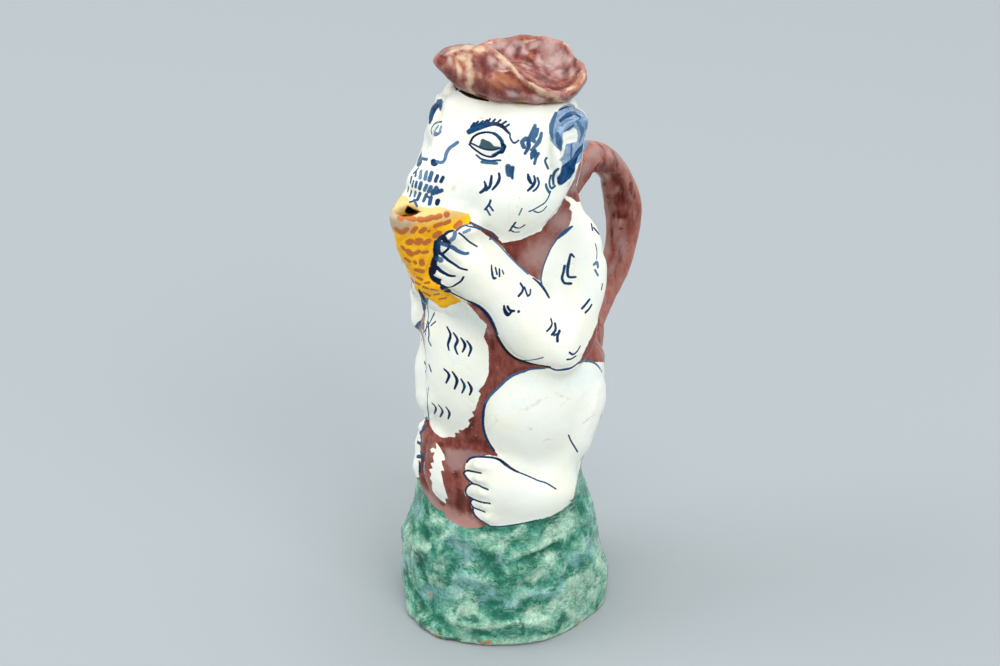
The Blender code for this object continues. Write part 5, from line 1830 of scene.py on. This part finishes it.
hatPulls = (
    ((436, 60), (430.5, 60)), ((443, 50), (440, 50)), ((442, 76), (446, 75.5)), ((449, 84), (452.5, 82)),
    ((457, 91), (458, 90.5)), ((467, 96.5), (468, 97.3)), ((479, 100.5), (480, 101.5)),
    ((490, 103), (490, 105)), ((502, 104), (502, 106)), ((487, 46), (486, 40)), ((495, 42), (494, 36.5)),
    ((505, 40), (505, 36.5)), ((516, 39), (516, 35.5)), ((528, 38.5), (528, 34)), ((541, 36.5), (541, 33.5)),
    ((553, 38), (553, 36.5)), ((563, 41), (563, 42)), ((576, 53), (572.5, 56)), ((583, 61), (579, 63)),
    ((586, 68), (585, 70)), ((584, 86), (585, 86)), ((574, 100), (574.5, 101.5)),
)

hatFolds = [
    (1.5, 1.5, ((498, 50), (509, 59), (520, 69.5), (531, 79), (543, 85), (556, 88), (566, 85), (574, 78),
                (577, 70))),
    (1.2, -1.1, ((488, 48), (497, 54), (506, 62.5), (516, 73), (527, 82.5), (540, 89.5), (555, 93.5),
                 (568, 90), (577, 83), (583, 73))),
    (1.6, 0.9, ((503, 66), (513, 77), (524, 88), (537, 96), (552, 101))),
    (1.5, 1.2, ((528, 60), (536, 68), (543, 78))),
    (1.6, 1.0, ((533, 80), (541, 76), (548, 78))),
    (1.4, 0.7, ((512, 44), (516, 52), (512, 62))),
    (1.4, -0.6, ((520, 48), (530, 58), (540, 66))),
    (1.5, 0.7, ((563, 46), (567, 56), (575, 62))),
    (1.5, 0.8, ((551, 62), (546, 70), (553, 77))),
    (1.6, 0.7, ((560, 66), (566, 72), (566, 80))),
    (1.8, 0.7, ((443, 53), (449, 66), (455, 80))),
    (2.0, 0.8, ((484, 60), (487, 74), (489, 90))),
    (1.4, -0.6, ((466, 55), (469, 70), (470, 86))),
    (1.4, -0.5, ((476, 58), (479, 72), (481, 88))),
    (1.2, 0.6, ((496, 72), (506, 79), (516, 86))),
    (1.2, 0.5, ((494, 80), (504, 88), (516, 95))),
]

hatSpots = {
    # cream: pale streaks and a pale worn rim, and painted highlights along the rolled rim
    "cream": ((452, 51, 9, 3, -25), (466, 47.5, 14, 3.4, 0), (480, 50, 10, 4, 10), (468, 62, 4, 12, 5),
              (470, 80, 3.4, 12, 0), (462, 57, 8, 4, 0), (459, 70, 3, 9, -15), (501, 57, 6, 3, 45),
              (507, 63, 7, 3.4, 45), (514, 70, 7, 3, 48), (519, 76, 4, 2, 50), (540, 91, 12, 4, 32),
              (553, 97, 9, 3, 20), (533, 85, 6, 2, 35), (582, 76, 2, 8, 20), (570, 88.5, 7, 1.6, -25),
              (505, 72, 7, 1, 8), (474, 93, 5, 2.4, 25), (529, 39, 10, 1.6, -5),
              (568, 46, 6, 1.6, 40), (490, 43, 6, 1.4, -25)),
    "purple": ((444, 57, 4, 6, 25), (440, 64, 5, 4, 40), (476, 65, 5, 9, 0), (484, 62, 7, 7, 0),
               (488, 68, 6, 10, 0), (480, 84, 6, 10, 0), (486, 92, 6, 6, 0), (499, 93, 9, 4, 10),
               (509, 98, 12, 4, 5), (516, 89, 7, 4, 20), (448, 74, 5, 9, -35), (453, 82, 4, 6, -30),
               (543, 77, 6, 4, 0), (536, 68, 2.4, 10, -38), (566, 72, 5, 7, 20), (549, 81, 8, 3, 0),
               (574, 93, 9, 2, -25), (555, 103, 14, 1.6, 0), (518, 48, 3, 6, 0), (556, 89, 14, 1.4, 0),
               (497, 66, 5, 3, 30), (527, 60, 3, 6, -30), (575, 60, 2.4, 9, -25), (460, 88, 6, 3, 30),
               (525, 80, 4, 1.6, 40), (529, 86, 3.4, 2.4, 30)),
    "orange": ((500, 76, 13, 3, 8), (508, 81, 14, 3, 12), (495, 84, 7, 5, 0), (463, 63, 7, 5, 0),
               (455, 62, 5, 7, 0), (527, 84, 3.4, 2, 40), (545, 95, 14, 4, 25), (446, 66, 3, 3, 0),
               (520, 98, 8, 3, 5), (578, 83, 4, 8, 30), (530, 57, 4, 5, 0), (475, 76, 4, 9, 0)),
    "lilac": ((498, 45, 9, 4, -10), (508, 50, 6, 6, 0), (517, 44, 8, 4, 0), (551, 46, 10, 8, 15),
              (556, 58, 9, 10, 20), (548, 66, 7, 5, 20), (535, 44, 8, 4, -5), (493, 62, 4, 6, 0),
              (503, 67, 5, 3, 40), (538, 99, 9, 3, 20), (512, 92, 8, 3, 10), (566, 60, 6, 7, 0),
              (571, 50, 4, 6, -30), (523, 51, 6, 4, 0), (450, 60, 3, 6, 0), (560, 74, 10, 5, 0),
              (527, 66, 5, 4, 30), (540, 60, 4, 6, 0), (573, 72, 5, 6, 0)),
}


def makeHatClay():
    mesh = voxelSkin(copyOfNode("hat_lid"), "hatClay", hatClay["voxel"])
    points, edgeList = meshToClay(mesh)
    points = rubbed(points, edgeList, hatClay["rubs"], np.ones(len(points)))
    points = drawnOut(points, hatPulls, hatClay["pullReach"])
    putBack(mesh, points)
    normals = normalsOf(mesh)
    points = pressed(points, normals, laidFolds(treeOf(mesh), hatFolds, (1,)))
    broad, fine = hatClay["swells"]
    for i in range(len(points)):
        x, y, z = points[i] * 1000
        swell = noise.noise((x / broad, y / broad, z / broad))
        swell += hatClay["fineShare"] * noise.noise((x / fine, y / fine, z / fine))
        points[i] += normals[i] * hatClay["unevenness"] * swell
    points = rubbed(points, edgeList, 1, np.ones(len(points)))
    putBack(mesh, points)
    return mesh


def makeHat():
    mesh = makeHatClay()
    points, edgeList = meshToClay(mesh)
    normals = normalsOf(mesh)
    seen = spread(seenFrom(treeOf(mesh), points, normals, False), edgeList, 4) > 0.05
    pixels = swayed(points, swayed(points, project(points), 8, 4), 2.5, 2)
    paintSpots(mesh, "hatSpots", hatSpots, pixels, seen)
    writeAttribute(mesh, "form", hollowness(points, normals, edgeList))
    print("hat clay", len(mesh.polygons), "faces")
    mesh.materials.clear()
    mesh.materials.append(makeHatGlaze())
    makePiece(mesh, "hat_lid")


# the ragged patches would follow the clock without a seed
patchSeed = 1795799592
noise.seed_set(patchSeed)
makeCamera()
makeStudio()
print("camera and studio ready")
makeEwer()
makeHat()
